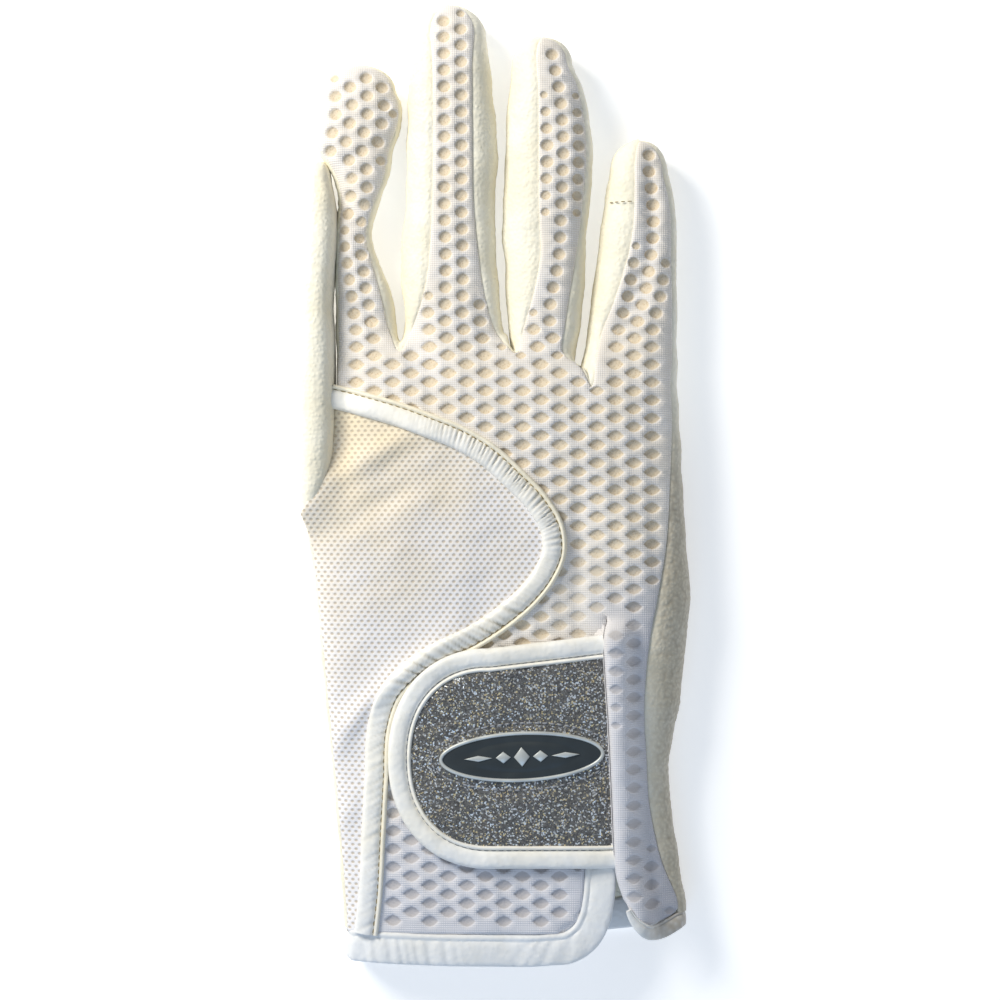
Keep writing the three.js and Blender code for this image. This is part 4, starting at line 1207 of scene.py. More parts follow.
@dataclass(frozen=True)
class LeatherFinish:
    """Soft leather with a pebble grain and fine creases."""

    name: str
    base: Colour
    shade: Colour
    grain: float = 0.9
    roughness: float = 0.48
    piping: Colour = linear(246, 232, 192)
    # Colour of the painted shade low on the right side.
    side: Colour = linear(158, 147, 128)
    crease: Colour = linear(176, 165, 138)
    # Colour of the painted cool light towards the hem.
    sky: Colour = linear(204, 213, 230)
    relief: float = 0.24
    cool: float = 0.0

    def build(self) -> Material:
        """Pebbles, creases and pores, with the tape's piping and painted shade in its pleats where they are
        marked, painted cool light towards the hem and painted shade low on the right side.

        Returns:
            The material.
        """
        shader = Shader(self.name)
        pebbles = shader.value(shader.cells(self.grain, "SMOOTH_F1"), "Distance")
        pores = shader.noise(0.4, 2)
        creases = shader.noise(3.2, 4, 0.62)
        cloud = shader.noise(16)
        colour = shader.mix(cloud.step(0.3, 0.72) * 0.7, self.base, self.shade)
        colour = shader.mix((1 - creases.step(0.36, 0.5)) * 0.35, colour, self.shade)
        colour = shader.mix(shader.mark("piping"), colour, self.piping)
        x, y, _ = shader.axes()
        # Painted shade in the tape's pleats, as deep as the crease mark says.
        colour = shader.mix(shader.mark("crease") * 0.7, colour, self.crease)
        # Painted cool light: the colour turns bluish towards the hem, by the share that cool gives.
        colour = shader.mix((-1 * y).step(84, 112) * self.cool, colour, self.sky)
        # Painted shade: the leather low on the right side turns darker and greyer.
        press_and_painted_side_shade = x.step(34, 45) * (1 - y.step(-8, 34))
        colour = shader.mix(press_and_painted_side_shade * (0.45 + pebbles * 0.5), colour, self.side)
        height = (1 - pebbles) * 1.0 + creases * 0.8 + pores * 0.15
        rough = pebbles * 0.16 + self.roughness
        return shader.finished({
            "Base Color": colour, "Roughness": rough, "Specular IOR Level": 0.4, "Sheen Weight": 0.05,
            "Normal": shader.bump(height, self.relief, 0.9),
        })


@dataclass(frozen=True)
class GlitterFinish:
    """Dark fabric crowded with silver and gold glitter."""

    ground: Colour = linear(86, 85, 84)
    dull: Colour = linear(62, 62, 62)
    light: Colour = linear(140, 140, 138)
    silver: Colour = linear(236, 238, 240)
    gold: Colour = linear(236, 216, 168)
    grain: float = 0.36

    def build(self) -> Material:
        """One facet to each small cell.

        Returns:
            The material.
        """
        shader = Shader("glitter_fabric")
        facets = shader.cells(self.grain)
        parts = shader.node("ShaderNodeSeparateColor", {}, {0: facets.outputs["Color"]})
        bright, tint, lean = (shader.value(parts, i) for i in range(3))
        spark = bright.step(0.68, 0.9)
        body = shader.mix(tint, self.dull, self.light)
        metal = shader.mix(tint.step(0.55, 0.8), self.silver, self.gold)
        colour = shader.mix(spark, shader.mix(0.5, self.ground, body), metal)
        height = lean * 0.8 + shader.value(facets, "Distance") * 0.8
        return shader.finished({
            "Base Color": colour, "Metallic": spark * 0.55 + 0.3, "Roughness": 0.5 - spark * 0.22,
            "Normal": shader.bump(height, 0.16, 0.9),
        })


@dataclass(frozen=True)
class RubberFinish:
    """Moulded soft plastic of the badge."""

    name: str
    base: Colour
    roughness: float
    metallic: float = 0.0

    def build(self) -> Material:
        """A fine grain and a slight cloud.

        Returns:
            The material.
        """
        shader = Shader(self.name)
        cloud = shader.noise(5)
        low = dimmed(self.base, 0.82)
        grain = shader.noise(0.25, 2)
        return shader.finished({
            "Base Color": shader.mix(cloud.step(0.3, 0.7), low, self.base), "Metallic": self.metallic,
            "Roughness": grain * 0.14 + self.roughness, "Normal": shader.bump(grain, 0.03, 0.6),
        })


@dataclass(frozen=True)
class FastenerFinish:
    """White hook-and-loop strip."""

    base: Colour = linear(226, 226, 220)
    shade: Colour = linear(190, 190, 182)

    def build(self) -> Material:
        """Small rough loops.

        Returns:
            The material.
        """
        shader = Shader("hook_fastener")
        loops = shader.value(shader.cells(0.8), "Distance")
        colour = shader.mix(loops.step(0.1, 0.6), self.base, self.shade)
        return shader.finished({
            "Base Color": colour, "Roughness": 0.9, "Sheen Weight": 0.4, "Normal": shader.bump(loops, 0.5),
        })


@dataclass(frozen=True)
class ThreadFinish:
    """Twisted sewing thread."""

    name: str
    base: Colour

    def build(self) -> Material:
        """The thread's twist, as fine diagonal lines.

        Returns:
            The material.
        """
        shader = Shader(self.name)
        x, y, z = shader.axes()
        twist = ((x + y * 0.7 + z) * 16).math("SINE") * 0.5 + 0.5
        dark = dimmed(self.base, 0.7)
        return shader.finished({
            "Base Color": shader.mix(twist, dark, self.base), "Roughness": 0.7,
            "Normal": shader.bump(twist, 0.05),
        })


class Finishes:
    """All the glove's materials."""

    def __init__(self) -> None:
        """Builds each material once."""
        self.honeycomb = HoneycombFinish().build()
        self.fine_mesh = FineMeshFinish().build()
        self.leather = LeatherFinish("cream_leather", linear(246, 242, 226), linear(238, 230, 205)).build()
        # The tape gets painted cool light towards the hem.
        self.tape = LeatherFinish(
            "white_tape", linear(248, 247, 243), linear(240, 236, 224), 1.3, 0.4, relief=0.14, cool=0.3,
        ).build()
        self.glitter = GlitterFinish().build()
        self.badge = RubberFinish("badge_grey", linear(46, 54, 58), 0.42).build()
        self.rim = RubberFinish("badge_silver", linear(214, 218, 216), 0.34, 0.35).build()
        self.fastener = FastenerFinish().build()
        self.thread = ThreadFinish("sewing_thread", linear(176, 158, 118)).build()
        self.grey_thread = ThreadFinish("grey_thread", linear(170, 172, 178)).build()


@dataclass
class HoneycombBack:
    """The back's knitted mesh with its cells, over the hand and the four fingers."""

    form: GloveForm
    borders: Borders
    column: float = 4.7
    row: float = 4.56
    finger_column: float = 4.35
    finger_row: float = 4.25
    half_long: float = 2.3
    half_wide: float = 1.52
    finger_half_long: float = 1.75
    finger_half_wide: float = 1.6
    around: int = 12
    rings: tuple[float, ...] = (1.14, 0.98, 0.81)
    drops: tuple[float, ...] = (0.17, -0.08, -0.6)
    floor: float = -0.68
    shades: tuple[float, ...] = (0.0, 0.3, 0.85)
    first_row: float = 141.2
    first_column: float = 6.8
    room: float = 0.22
    least_gap: float = 3.2
    least_scale: float = 0.6

    def outline(self) -> Array:
        """The border of the mesh seen from above, anticlockwise.

        Returns:
            Its points: fingers, flap, slit, cuff and the seam with the insert.
        """
        form = self.form
        left = self.borders.index.seam
        left = left[left[:, 1] > up_hand(0.915)]
        right = self.borders.little.seam[::-1]
        right = right[right[:, 1] > up_hand(0.09)]
        rows = [left, *(web.seam for web in self.borders.webs), right]
        hem = smooth_path(FLAP_HEM, 0.9)
        y = np.linspace(up_hand(0.108), up_hand(SLIT_TOP), 72)
        fold = np.column_stack([form.flap_x(y), y])
        y = np.linspace(up_hand(SLIT_TOP) - 0.9, up_hand(0.172), 60)
        slit = np.column_stack([form.flap_x(y) - 0.2, y])
        up = np.array([0.166, 0.15, 0.13, 0.11, 0.09, 0.07])
        beside = HEM_CORNER.at("across", up) * PALM_WIDTH - HEM_SOLID / 2 - CLEARANCE
        corner = np.column_stack([beside, up_hand(up)])
        hem_y = up_hand(HEM_LEVEL)
        last = across_hand(HEM_CORNER.at("across", HEM_LEVEL)) - HEM_SOLID / 2 - 3.2
        foot = np.column_stack([np.linspace(last, form.seam_x(hem_y) + CLEARANCE, 50), np.full(50, hem_y)])
        y = np.linspace(hem_y + 1, up_hand(0.913), 171)
        beside = np.maximum(form.seam_x(y) + CLEARANCE, across_hand(UPPER_LEFT) + EDGE_INSET)
        seam = np.column_stack([beside, y])
        return joined_outline([*rows, hem, fold, slit, corner, foot, seam], 0.08)

    def row_places(self, finger: Finger) -> tuple[Array, Array]:
        """How the rows of cells follow each other over one finger.

        Args:
            finger: The finger.

        Returns:
            Heights above the hem, and the number of rows counted to each.
        """
        step = 0.25
        y = np.arange(0, 250, step)
        pitch = self.row + (self.finger_row - self.row) * smooth_step(y, KNUCKLE_LEVEL, 165)
        if finger is INDEX:
            pitch = pitch + 0.45 * smooth_step(y, 190, 205)
        count = np.concatenate([[0], np.cumsum(step / pitch[:-1])])
        return y, count - np.interp(self.first_row, y, count)

    def centres(self, outline: Array) -> Array:
        """Places and sizes of the cells, closer together on the fingers.

        Args:
            outline: Closed border seen from above, anticlockwise.

        Returns:
            Rows of x, y, half length, half width and roundness.
        """
        home = {"index": -8.5, "middle": -3.5, "ring": 2.0, "little": 6.0}
        limits = [-90, *(across_hand(x) for x in CROTCHES.columns["notch_x"]), 90]
        cells = []
        for k, finger in enumerate(FINGERS):
            y_table, count = self.row_places(finger)
            pitch = self.finger_column * (1 if finger is MIDDLE else 0.94)
            root = finger.mesh_middle(0.05)
            for i in range(-14, 14):
                for j in range(-34, 26):
                    y = float(np.interp(j + 0.5 * (i % 2), count, y_table))
                    on_hand = y < KNUCKLE_LEVEL
                    if on_hand and finger is not MIDDLE:
                        continue
                    middle = finger.mesh_middle(max((y - finger.root_y) / finger.length, 0.05))
                    weight = float(smooth_step(y, KNUCKLE_LEVEL, 172))
                    pull = (1 - weight) / self.column + weight / pitch
                    place = i - weight * (home[finger.name] - middle / pitch)
                    x = (place + (1 - weight) * self.first_column / self.column) / pull
                    if on_hand or limits[k] - 2 < x - (middle - root) < limits[k + 1] + 2:
                        long = self.half_long + (self.finger_half_long - self.half_long) * weight
                        wide = self.half_wide + (self.finger_half_wide - self.half_wide) * weight
                        cells.append((x, y, long, wide, 1.15 - 0.5 * weight))
        cells = np.array(cells)
        return cells[inside_outline(cells[:, :2], outline)]

    def ring_points(self, cells: Array, scale: Array) -> Array:
        """Points round each cell at a share of its size.

        Args:
            cells: Place, half sizes and roundness of each cell.
            scale: Share of each cell's size.

        Returns:
            Points by cell and turn.
        """
        turn = np.arange(self.around) / self.around * 2 * math.pi
        sin = signed_power(np.sin(turn), 2 * cells[:, 4:5] * 0.85)
        x = cells[:, :1] + cells[:, 2:3] * scale[:, None] * np.cos(turn)
        y = cells[:, 1:2] + cells[:, 3:4] * scale[:, None] * sin
        return np.stack([x, y], axis=2)

    def fitted(self, cells: Array, outline: Array) -> tuple[Array, Array]:
        """Shrinks the cells that lie too close to the outline and leaves out those that don't fit.

        Args:
            cells: Place, half sizes and roundness of each cell.
            outline: Closed border seen from above, anticlockwise.

        Returns:
            The cells that are kept, and the share of its size that each one keeps.
        """
        scale = np.ones(len(cells))
        near = outline_distance(cells[:, :2], outline) < 3.6
        for _ in range(10):
            ring = self.ring_points(cells[near], scale[near] * self.rings[0])
            flat = ring.reshape(-1, 2)
            clear = inside_outline(flat, outline) & (outline_distance(flat, outline) > self.room)
            x, y = ring[..., 0], ring[..., 1]
            beyond = (x > self.form.flap_x(y)) & (y < up_hand(SLIT_TOP) + 0.5)
            split = beyond.any(axis=1) & ~beyond.all(axis=1) & (y.min(axis=1) < up_hand(SLIT_TOP))
            tight = ~clear.reshape(len(ring), -1).all(axis=1) | split
            shrink = scale[near]
            shrink[tight] *= 0.93
            scale[near] = shrink
        kept = scale > self.least_scale
        kept[near] &= ~tight
        cells, scale = cells[kept], scale[kept]
        order, taken = [], np.empty((0, 2))
        for i, cell in enumerate(cells):
            gap = self.least_gap * max(0.8, scale[i])
            if len(taken) and np.min(np.linalg.norm(taken - cell[:2], axis=1)) < gap:
                continue
            order.append(i)
            taken = np.vstack([taken, cell[:2]])
        return cells[order], scale[order]

    def build(self, shop: Workshop, finish: Material) -> Piece:
        """Makes the piece.

        Args:
            shop: Makes the object.
            finish: The mesh's material.

        Returns:
            The back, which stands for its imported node.
        """
        outline = self.outline()
        cells, scale = self.fitted(self.centres(outline), outline)
        LOG.info("honeycomb: %d cells", len(cells))
        count = len(cells)
        layers = [self.ring_points(cells, scale * share).reshape(-1, 2) for share in self.rings]
        rings = np.vstack([*layers, cells[:, :2]])
        firsts = range(0, len(self.rings) * count * self.around, self.around)
        edges = [(first + k, first + (k + 1) % self.around) for first in firsts for k in range(self.around)]
        clear = self.clearness(cells)
        drops = self.per_point(self.drops, self.floor, scale * clear)
        deep = self.per_point(self.shades, 1, 0.25 + 0.75 * clear)
        band = np.vstack([inner_band(outline, 0.35), inner_band(outline, 0.8)])
        roll = np.vstack([inner_band(outline, inset) for inset in (1.3, 1.8, 2.4)])
        beyond = roll[:, 0] - self.form.flap_x(roll[:, 1])
        band = np.vstack([band, roll[(beyond > 0) & (beyond < 3) & (roll[:, 1] < up_hand(SLIT_TOP) - 1)]])
        loose = fill_points(outline, 1.9, 1.3)
        extra = np.vstack([band, loose])
        extra = extra[self.clear_of_cells(extra, cells, scale)]
        inner = np.vstack([rings, extra])
        offset = np.concatenate([np.zeros(len(outline)), drops, np.full(len(extra), 0.08)])
        mark = np.concatenate([np.zeros(len(outline)), deep, np.zeros(len(extra))])

        def over(flat: Array, source: Array) -> Array:
            """The upper face, pressed in at the cells and rounded at the border.

            Args:
                flat: Points seen from above.
                source: Number of each point in outline and inner, or -1.

            Returns:
                Points in millimetres.
            """
            x, y = flat[:, 0], flat[:, 1]
            lift = np.where(source >= 0, offset[np.maximum(source, 0)], 0)
            lift = lift - 0.85 * (1 - np.sqrt(1 - near_border(flat, outline, 1) ** 2))
            points = on_surface(self.form.back_top, x, y, lift)
            points[:, 2] -= self.flap_roll(x, y)
            return points

        def under(flat: Array) -> Array:
            """The lower face, one wall below the upper.

            Args:
                flat: Points seen from above.

            Returns:
                Points in millimetres.
            """
            x, y = flat[:, 0], flat[:, 1]
            drop = wall_drop(self.form.back_top, x, y, BACK_WALL + 0.05)
            return np.column_stack([x, y, self.form.back_top(x, y) - drop - self.flap_roll(x, y) * 0.4])

        points, faces, numbers = closed_sheet(outline, inner, edges, 3.4, over, under)
        marks = {"cell": np.where(numbers >= 0, mark[np.maximum(numbers, 0)], 0)}
        return shop.piece("glove_back", points, faces, finish, Slot.HONEYCOMB, ("back_mesh",), marks)

    def per_point(self, levels: tuple[float, ...], middle: float, share: Array) -> Array:
        """Values of every cell's rings and middle, each cell's times its own share.

        Args:
            levels: One value for each ring.
            middle: The value at a cell's middle.
            share: Each cell's share.

        Returns:
            One value for each ring point, and then for each middle.
        """
        count = len(share)
        values = np.concatenate([np.repeat(levels, count * self.around), np.full(count, middle)])
        return values * np.concatenate([np.tile(np.repeat(share, self.around), len(levels)), share])

    def clearness(self, cells: Array) -> Array:
        """How deep each cell is pressed, less on the flap, by the tab's corner and at the cuff.

        Args:
            cells: Place, half sizes and roundness of each cell.

        Returns:
            Shares of the full depth.
        """
        x, y = cells[:, 0], cells[:, 1]
        flap = (x > self.form.flap_x(y)) & (y < up_hand(SLIT_TOP))
        press_and_painted_side_shade = 0.55 * np.exp(-(((x - 20) / 9) ** 2) - ((y - up_hand(0.59)) / 15) ** 2)
        cuff = 0.25 * (1 - smooth_step(y, 30, 60))
        return np.where(flap, 0.5, 1 - np.maximum(press_and_painted_side_shade, cuff))

    def flap_roll(self, x: Array, y: Array) -> Array:
        """How far the flap's folded edge turns down.

        Args:
            x: Places across, in millimetres.
            y: Places along, in millimetres from the hem.

        Returns:
            Millimetres down, or 0 away from the flap.
        """
        inside = (y < up_hand(SLIT_TOP) - 1) & (x > self.form.flap_x(y) - CLEARANCE)
        near = np.clip(1 - (x - self.form.flap_x(y)) / 2.8, 0, 1)
        return np.where(inside, 2.0 * (1 - np.sqrt(1 - near**2)), 0)

    def clear_of_cells(self, points: Array, cells: Array, scale: Array) -> Array:
        """Which points lie on the ridges, off every cell's outer ring.

        Args:
            points: Points seen from above.
            cells: Place, half sizes and roundness of each cell.
            scale: Share of its full size that each cell keeps.

        Returns:
            True for each point that is clear.
        """
        clear = np.ones(len(points), bool)
        for chunk in np.array_split(np.arange(len(points)), 8):
            across = (points[chunk][:, None, 0] - cells[:, 0]) / (cells[:, 2] * scale * self.rings[0] + 0.2)
            along = (points[chunk][:, None, 1] - cells[:, 1]) / (cells[:, 3] * scale * self.rings[0] + 0.2)
            clear[chunk] = np.all(across**2 + along**2 > 1, axis=1)
        return clear


@dataclass
class SidePanels:
    """The leather between the back's mesh and the palm: three fourchettes and three side strips."""

    form: GloveForm
    borders: Borders
    wall: float = SIDE_WALL

    def section_rows(self, border: Border, surface: Callable) -> Array:
        """Closed sections from the back's edge round the silhouette to the palm, and back inside.

        Args:
            border: The border that the leather follows.
            surface: Height as a function of x and y.

        Returns:
            Stations, points round each section and x, y, z.
        """
        away = unit(border.edge - border.seam)
        seam = border.seam - UNDERLAP * away
        inner_edge = border.edge + self.wall * unit(border.palm - border.edge)
        top = surface(seam[:, 0], seam[:, 1]) - 0.55
        outer, inner = [], []
        for turn in (0.0, 0.14, 0.3, 0.5, 0.75, 1.0, 1.28):
            sin, cos = math.sin(turn), math.cos(turn)
            roll = 0.5 * (1 - math.sqrt(1 - max(0.0, 1 - turn / 0.14) ** 2))
            puff = 0.25 * math.sin(min(turn, 1.2) * 2.6)
            flat = seam + (border.edge - seam) * sin
            z = SEAM_LEVEL + (top - SEAM_LEVEL) * cos - roll
            outer.append(np.column_stack([flat + away * puff * 0.4, z + puff * 0.4]))
            flat = seam + (inner_edge - seam) * sin
            inner.append(np.column_stack([flat, SEAM_LEVEL + (top - self.wall - SEAM_LEVEL) * cos]))
        for turn in (0.0, 0.3, 0.6, 0.9, 1.2, math.pi / 2):
            sin, cos = math.sin(turn), math.cos(turn)
            flat = border.edge + (border.palm - border.edge) * (1 - cos)
            outer.append(np.column_stack([flat, np.full(len(flat), SEAM_LEVEL * (1 - sin))]))
            flat = inner_edge + (border.palm - inner_edge) * (1 - cos)
            z = self.wall + (SEAM_LEVEL - self.wall) * (1 - sin)
            inner.append(np.column_stack([flat, np.full(len(flat), z)]))
        outer, inner = np.stack(outer, axis=1), np.stack(inner, axis=1)
        return np.concatenate([self.wrinkled(outer), inner[:, ::-1]], axis=1)

    def wrinkled(self, outer: Array) -> Array:
        """The outer face with soft wrinkles that fade at both seams.

        Args:
            outer: Stations, points across the face and x, y, z.

        Returns:
            The moved points.
        """
        count = outer.shape[1]
        fade = np.sin(np.linspace(0, math.pi, count))[None, :]
        x, y, z = outer[..., 0], outer[..., 1], outer[..., 2]
        wave = soft_noise(x + z * 0.6, y, 9, 11) + 0.5 * soft_noise(x - z, y * 1.6, 4, 12)
        normal = unit(np.cross(np.gradient(outer, axis=1), np.gradient(outer, axis=0)))
        return outer + normal * (0.19 * wave * fade)[..., None]

    def build(self, shop: Workshop, finish: Material) -> list[Piece]:
        """Makes the six pieces of leather.

        Args:
            shop: Makes the objects.
            finish: The pieces' material.

        Returns:
            The pieces, from the first finger's side to the wrist.
        """
        jobs = [
            ("leather_side_index", self.borders.index, self.form.top, "side_index"),
            ("fourchette_index", self.borders.webs[0], self.form.top, "fourchette_index_middle"),
            ("fourchette_middle", self.borders.webs[1], self.form.top, "fourchette_middle_ring"),
            ("fourchette_ring", self.borders.webs[2], self.form.top, "fourchette_ring_little"),
            ("leather_side_little", self.borders.little, self.form.flap_top, "side_little"),
            ("leather_side_wrist", self.borders.wrist, self.form.top, "side_wrist"),
        ]
        pieces = []
        for name, border, surface, node in jobs:
            points, faces = swept(self.section_rows(border, surface))
            pieces.append(shop.piece(name, points, faces, finish, Slot.LEATHER, (node,)))
        return pieces


@dataclass
class PalmLeather:
    """The flat leather of the palm and the undersides of the fingers."""

    form: GloveForm
    borders: Borders
    wall: float = 1.4

    def outline(self) -> Array:
        """The palm's border, a clearance inside the leather beside it.

        Returns:
            Its points, anticlockwise.
        """
        form, borders = self.form, self.borders
        up = np.linspace(0.056, THUMB_SEAM_FOOT, 60)
        rows = [np.column_stack([form.hand_left(up) + PALM_INSET + CLEARANCE, up_hand(up)])]
        up = THUMB_SEAM_FOOT + (THUMB_SEAM_TOP - THUMB_SEAM_FOOT) * np.linspace(0.15, 0.8, 8)
        rows.append(np.column_stack([form.hand_left(up) + SIDE_WALL + CLEARANCE, up_hand(up)]))
        for border in (borders.index, *borders.webs, borders.little.reversed()):
            rows.append(border.palm - unit(border.edge - border.palm) * CLEARANCE)
        return joined_outline(rows, 0.15)

    def build(self, shop: Workshop, finish: Material) -> Piece:
        """Makes the palm, with slightly uneven faces and rounded borders.

        Args:
            shop: Makes the objects.
            finish: The pieces' material.

        Returns:
            The palm.
        """
        outline = self.outline()
        inner = np.vstack([inner_band(outline, 0.5), fill_points(outline, 2.2, 1.2)])

        def over(flat: Array, source: Array) -> Array:
            """The inner face, rounded at the border."""
            return np.column_stack([flat, self.wall - 0.05 - 0.3 * near_border(flat, outline, 0.5)])

        def under(flat: Array) -> Array:
            """The face on the ground, slightly uneven.

            Args:
                flat: Points seen from above.

            Returns:
                Points in millimetres.
            """
            roll = near_border(flat, outline, 0.5)
            wave = 0.14 * (1 + soft_noise(flat[:, 0], flat[:, 1], 14, 21))
            return np.column_stack([flat, np.clip(wave, 0.01, 0.4) * (1 - roll) + 0.3 * roll])

        return shop.sheet(
            "palm_skin", outline, inner, 2.2, over, under, finish, Slot.LEATHER, "palm_leather",
        )


@dataclass
class ThumbLeather:
    """The thumb, which stands on edge along the first finger."""

    form: GloveForm
    x: float = across_hand(-0.513)
    root_y: float = up_hand(0.731)
    width: float = 9.2
    height: float = 19.0
    length: float = 90.5
    wall: float = 1.2
    roundness: float = 2.6
    last: float = 0.94
    rows: Table = field(default_factory=lambda: Table("along left right height", [
        (0, -0.4, 0.44, 0.84), (0.05, -0.49, 0.44, 0.93), (0.12, -0.52, 0.44, 0.96),
        (0.19, -0.52, 0.45, 0.98), (0.32, -0.52, 0.43, 1), (0.47, -0.5, 0.42, 1), (0.6, -0.47, 0.37, 0.97),
        (0.74, -0.42, 0.46, 0.95), (0.82, -0.39, 0.48, 0.9), (0.88, -0.36, 0.42, 0.84),
        (0.94, -0.31, 0.3, 0.7),
    ]))

    def ring(self, along: float, shrink: float, reach: float, wall: float, around: int = 36) -> Array:
        """One section of the thumb.

        Args:
            along: Share of the length.
            shrink: Share of the section's size, which closes the tip.
            reach: Millimetres added along the thumb.
            wall: Depth below the outer face.
            around: Points round the section.

        Returns:
            The points of the section.
        """
        left = self.x + self.width * float(self.rows.at("left", along))
        right = self.x + self.width * float(self.rows.at("right", along)) + 0.5
        tall = self.height * float(self.rows.at("height", along))
        turn = np.arange(around) / around * 2 * math.pi
        power = 2 / self.roundness
        cos, sin = signed_power(np.cos(turn), power), signed_power(np.sin(turn), power)
        skew = up_hand(THUMB_SEAM_TOP) - self.root_y - CLEARANCE
        slide = max(0.0, 1 - along / 0.3) * skew * ((1 + cos) / 2) ** 2.4
        y = self.root_y + self.length * along + slide + reach
        half = (right - left) / 2
        wave = np.maximum(0.14 * soft_noise(y, 30 * turn / math.pi, 9, 31) * (wall == 0), 0)
        x = (left + right) / 2 + (half * shrink - wall * shrink - wave) * cos
        return np.column_stack([x, y, tall / 2 + (tall / 2 * shrink - wall * shrink - wave) * sin])

    def build(self, shop: Workshop, finish: Material) -> Piece:
        """Makes the thumb: an outer skin, an inner one and a wall at its open root.

        Args:
            shop: Makes the objects.
            finish: The pieces' material.

        Returns:
            The thumb.
        """
        outer = [self.ring(share, 1, 0, 0) for share in np.linspace(0, self.last, 60)]
        inner = [self.ring(share, 1, 0, self.wall) for share in np.linspace(0, self.last, 30)]
        reach = self.length * 0.06
        for share in (0.3, 0.55, 0.75, 0.88, 0.96):
            shrink = math.sqrt(1 - share**2)
            outer.append(self.ring(self.last, shrink, reach * share, 0))
            inner.append(self.ring(self.last, shrink, (reach - self.wall) * share, self.wall))
        points, faces = swept(np.stack([*inner[::-1], *outer]))
        return shop.piece("thumb_skin", points, faces, finish, Slot.LEATHER, ("thumb_leather",))


TAPE_PROFILE = np.array([
    (-0.5, 0.12), (-0.485, 0.42), (-0.44, 0.72), (-0.36, 0.92), (-0.24, 1.0), (-0.1, 1.0), (0.04, 0.96),
    (0.15, 0.86), (0.23, 0.66), (0.275, 0.4), (0.295, 0.3), (0.315, 0.5), (0.35, 0.72), (0.4, 0.8),
    (0.45, 0.72), (0.485, 0.48), (0.5, 0.15), (0.49, 0), (0.3, 0), (0.0, 0), (-0.3, 0), (-0.49, 0),
])


@dataclass
class Tape:
    """A folded leather tape with a piping along one border."""

    form: GloveForm
    name: str
    node: str
    path: Array
    width: float
    thickness: float
    raised: float
    pleats: Callable
    surface: Callable
    piping: float = 0.1
    spacing: float = 0.34

    def rail(self, path: Array, share: float, raised: float) -> Array:
        """Points beside a path at a share of the tape's width and a height.

        Args:
            path: Points along the tape's middle.
            share: Share of the width, to the left where positive.
            raised: Millimetres above the tape's foot.

        Returns:
            Points in millimetres.
        """
        ahead = unit(np.gradient(path, axis=0))
        x = path[:, 0] - ahead[:, 1] * share * self.width
        y = path[:, 1] + ahead[:, 0] * share * self.width
        return np.column_stack([x, y, self.surface(x, y) + self.raised + raised])

    def groove(self, path: Array) -> Array:
        """Points of the stitched groove beside a path."""
        return self.rail(smooth_path(path, 1.0), GROOVE_SHARE, GROOVE_HEIGHT * self.thickness)

    def build(self, shop: Workshop, finish: Material) -> Piece:
        """Sweeps the tape's section along its path and gathers it into pleats.

        Args:
            shop: Makes the objects.
            finish: The pieces' material.

        Returns:
            The tape.
        """
        path = smooth_path(self.path, self.spacing)
        run = np.arange(len(path)) * self.spacing
        sections = []
        for share, height in TAPE_PROFILE:
            gather = self.pleats(run, share) if height > 0 else 0
            sections.append(self.rail(path, share, height * self.thickness - gather * min(1, 2 * height)))
        points, faces = swept(np.stack(sections, axis=1))
        # How deep each gather is, kept as a mark for the painted shade in the pleats.
        crease_shade = [np.clip(self.pleats(run, share) * 1.7, 0, 1) for share, _ in TAPE_PROFILE]
        shares = np.tile([share for share, _ in TAPE_PROFILE], len(path))
        marks = {
            "piping": np.concatenate([self.piping * smooth_step(shares, 0.27, 0.33), [0, 0]]),
            "crease": np.concatenate([np.stack(crease_shade, axis=1).ravel(), [0, 0]]),
        }
        return shop.piece(self.name, points, faces, finish, Slot.TAPE, (self.node,), marks)


def pleat_wave(run: Array, pitch: float, seed: int) -> Array:
    """Uneven gathers along a tape, from 0 on their crowns to 1 in their creases.

    Args:
        run: Millimetres from the tape's start.
        pitch: Rough distance between two gathers.
        seed: Number that their unevenness is drawn from.

    Returns:
        One value for each place.
    """
    draw = np.random.default_rng(seed)
    drift = 0.0
    for _ in range(4):
        drift = drift + draw.uniform(0.12, 0.3) * np.sin(run * draw.uniform(0.2, 0.6) + draw.uniform(0, 6.3))
    wave = 0.5 - 0.5 * np.cos(2 * math.pi * (run / pitch + drift))
    return wave**1.6 * (0.75 + 0.25 * np.sin(run * 1.7 + 3 * drift))


@dataclass
class SeamTape(Tape):
    """The tape over the S-shaped seam between the insert and the honeycomb."""

    @classmethod
    def laid(cls, form: GloveForm) -> "SeamTape":
        """The tape on its seam.

        Args:
            form: The glove's form.

        Returns:
            The tape, gathered where the seam bends.
        """
        total = float(len(smooth_path(SEAM_PATH, cls.spacing))) * cls.spacing

        def pleats(run: Array, share: float) -> Array:
            """Fine gathers on the upper bend and wide ones below it.

            Args:
                run: Millimetres from the tape's start.
                share: Share of the tape's width.

            Returns:
                Depth in millimetres.
            """
            at = run / total
            fine = smooth_step(at, 0.09, 0.2) * (1 - 0.75 * smooth_step(at, 0.34, 0.4))
            fine = fine * (1 - smooth_step(at, 0.5, 0.6))
            wide = smooth_step(at, 0.43, 0.5) * (1 - 0.6 * smooth_step(at, 0.62, 0.7))
            reach = (0.25 + 0.75 * float(smooth_step(share, -0.5, 0.16))) * float(share < GROOVE_SHARE)
            small = 0.62 * fine * pleat_wave(run + share * 1.2, 1.15, 5)
            large = 0.8 * wide * pleat_wave(run + share * 4, 2.0, 6) ** 1.5
            return reach * (small + large)

        return cls(form, "seam_binding", "seam_tape", SEAM_PATH, 6.2, 1.9, -0.15, pleats, form.top, 0.5)


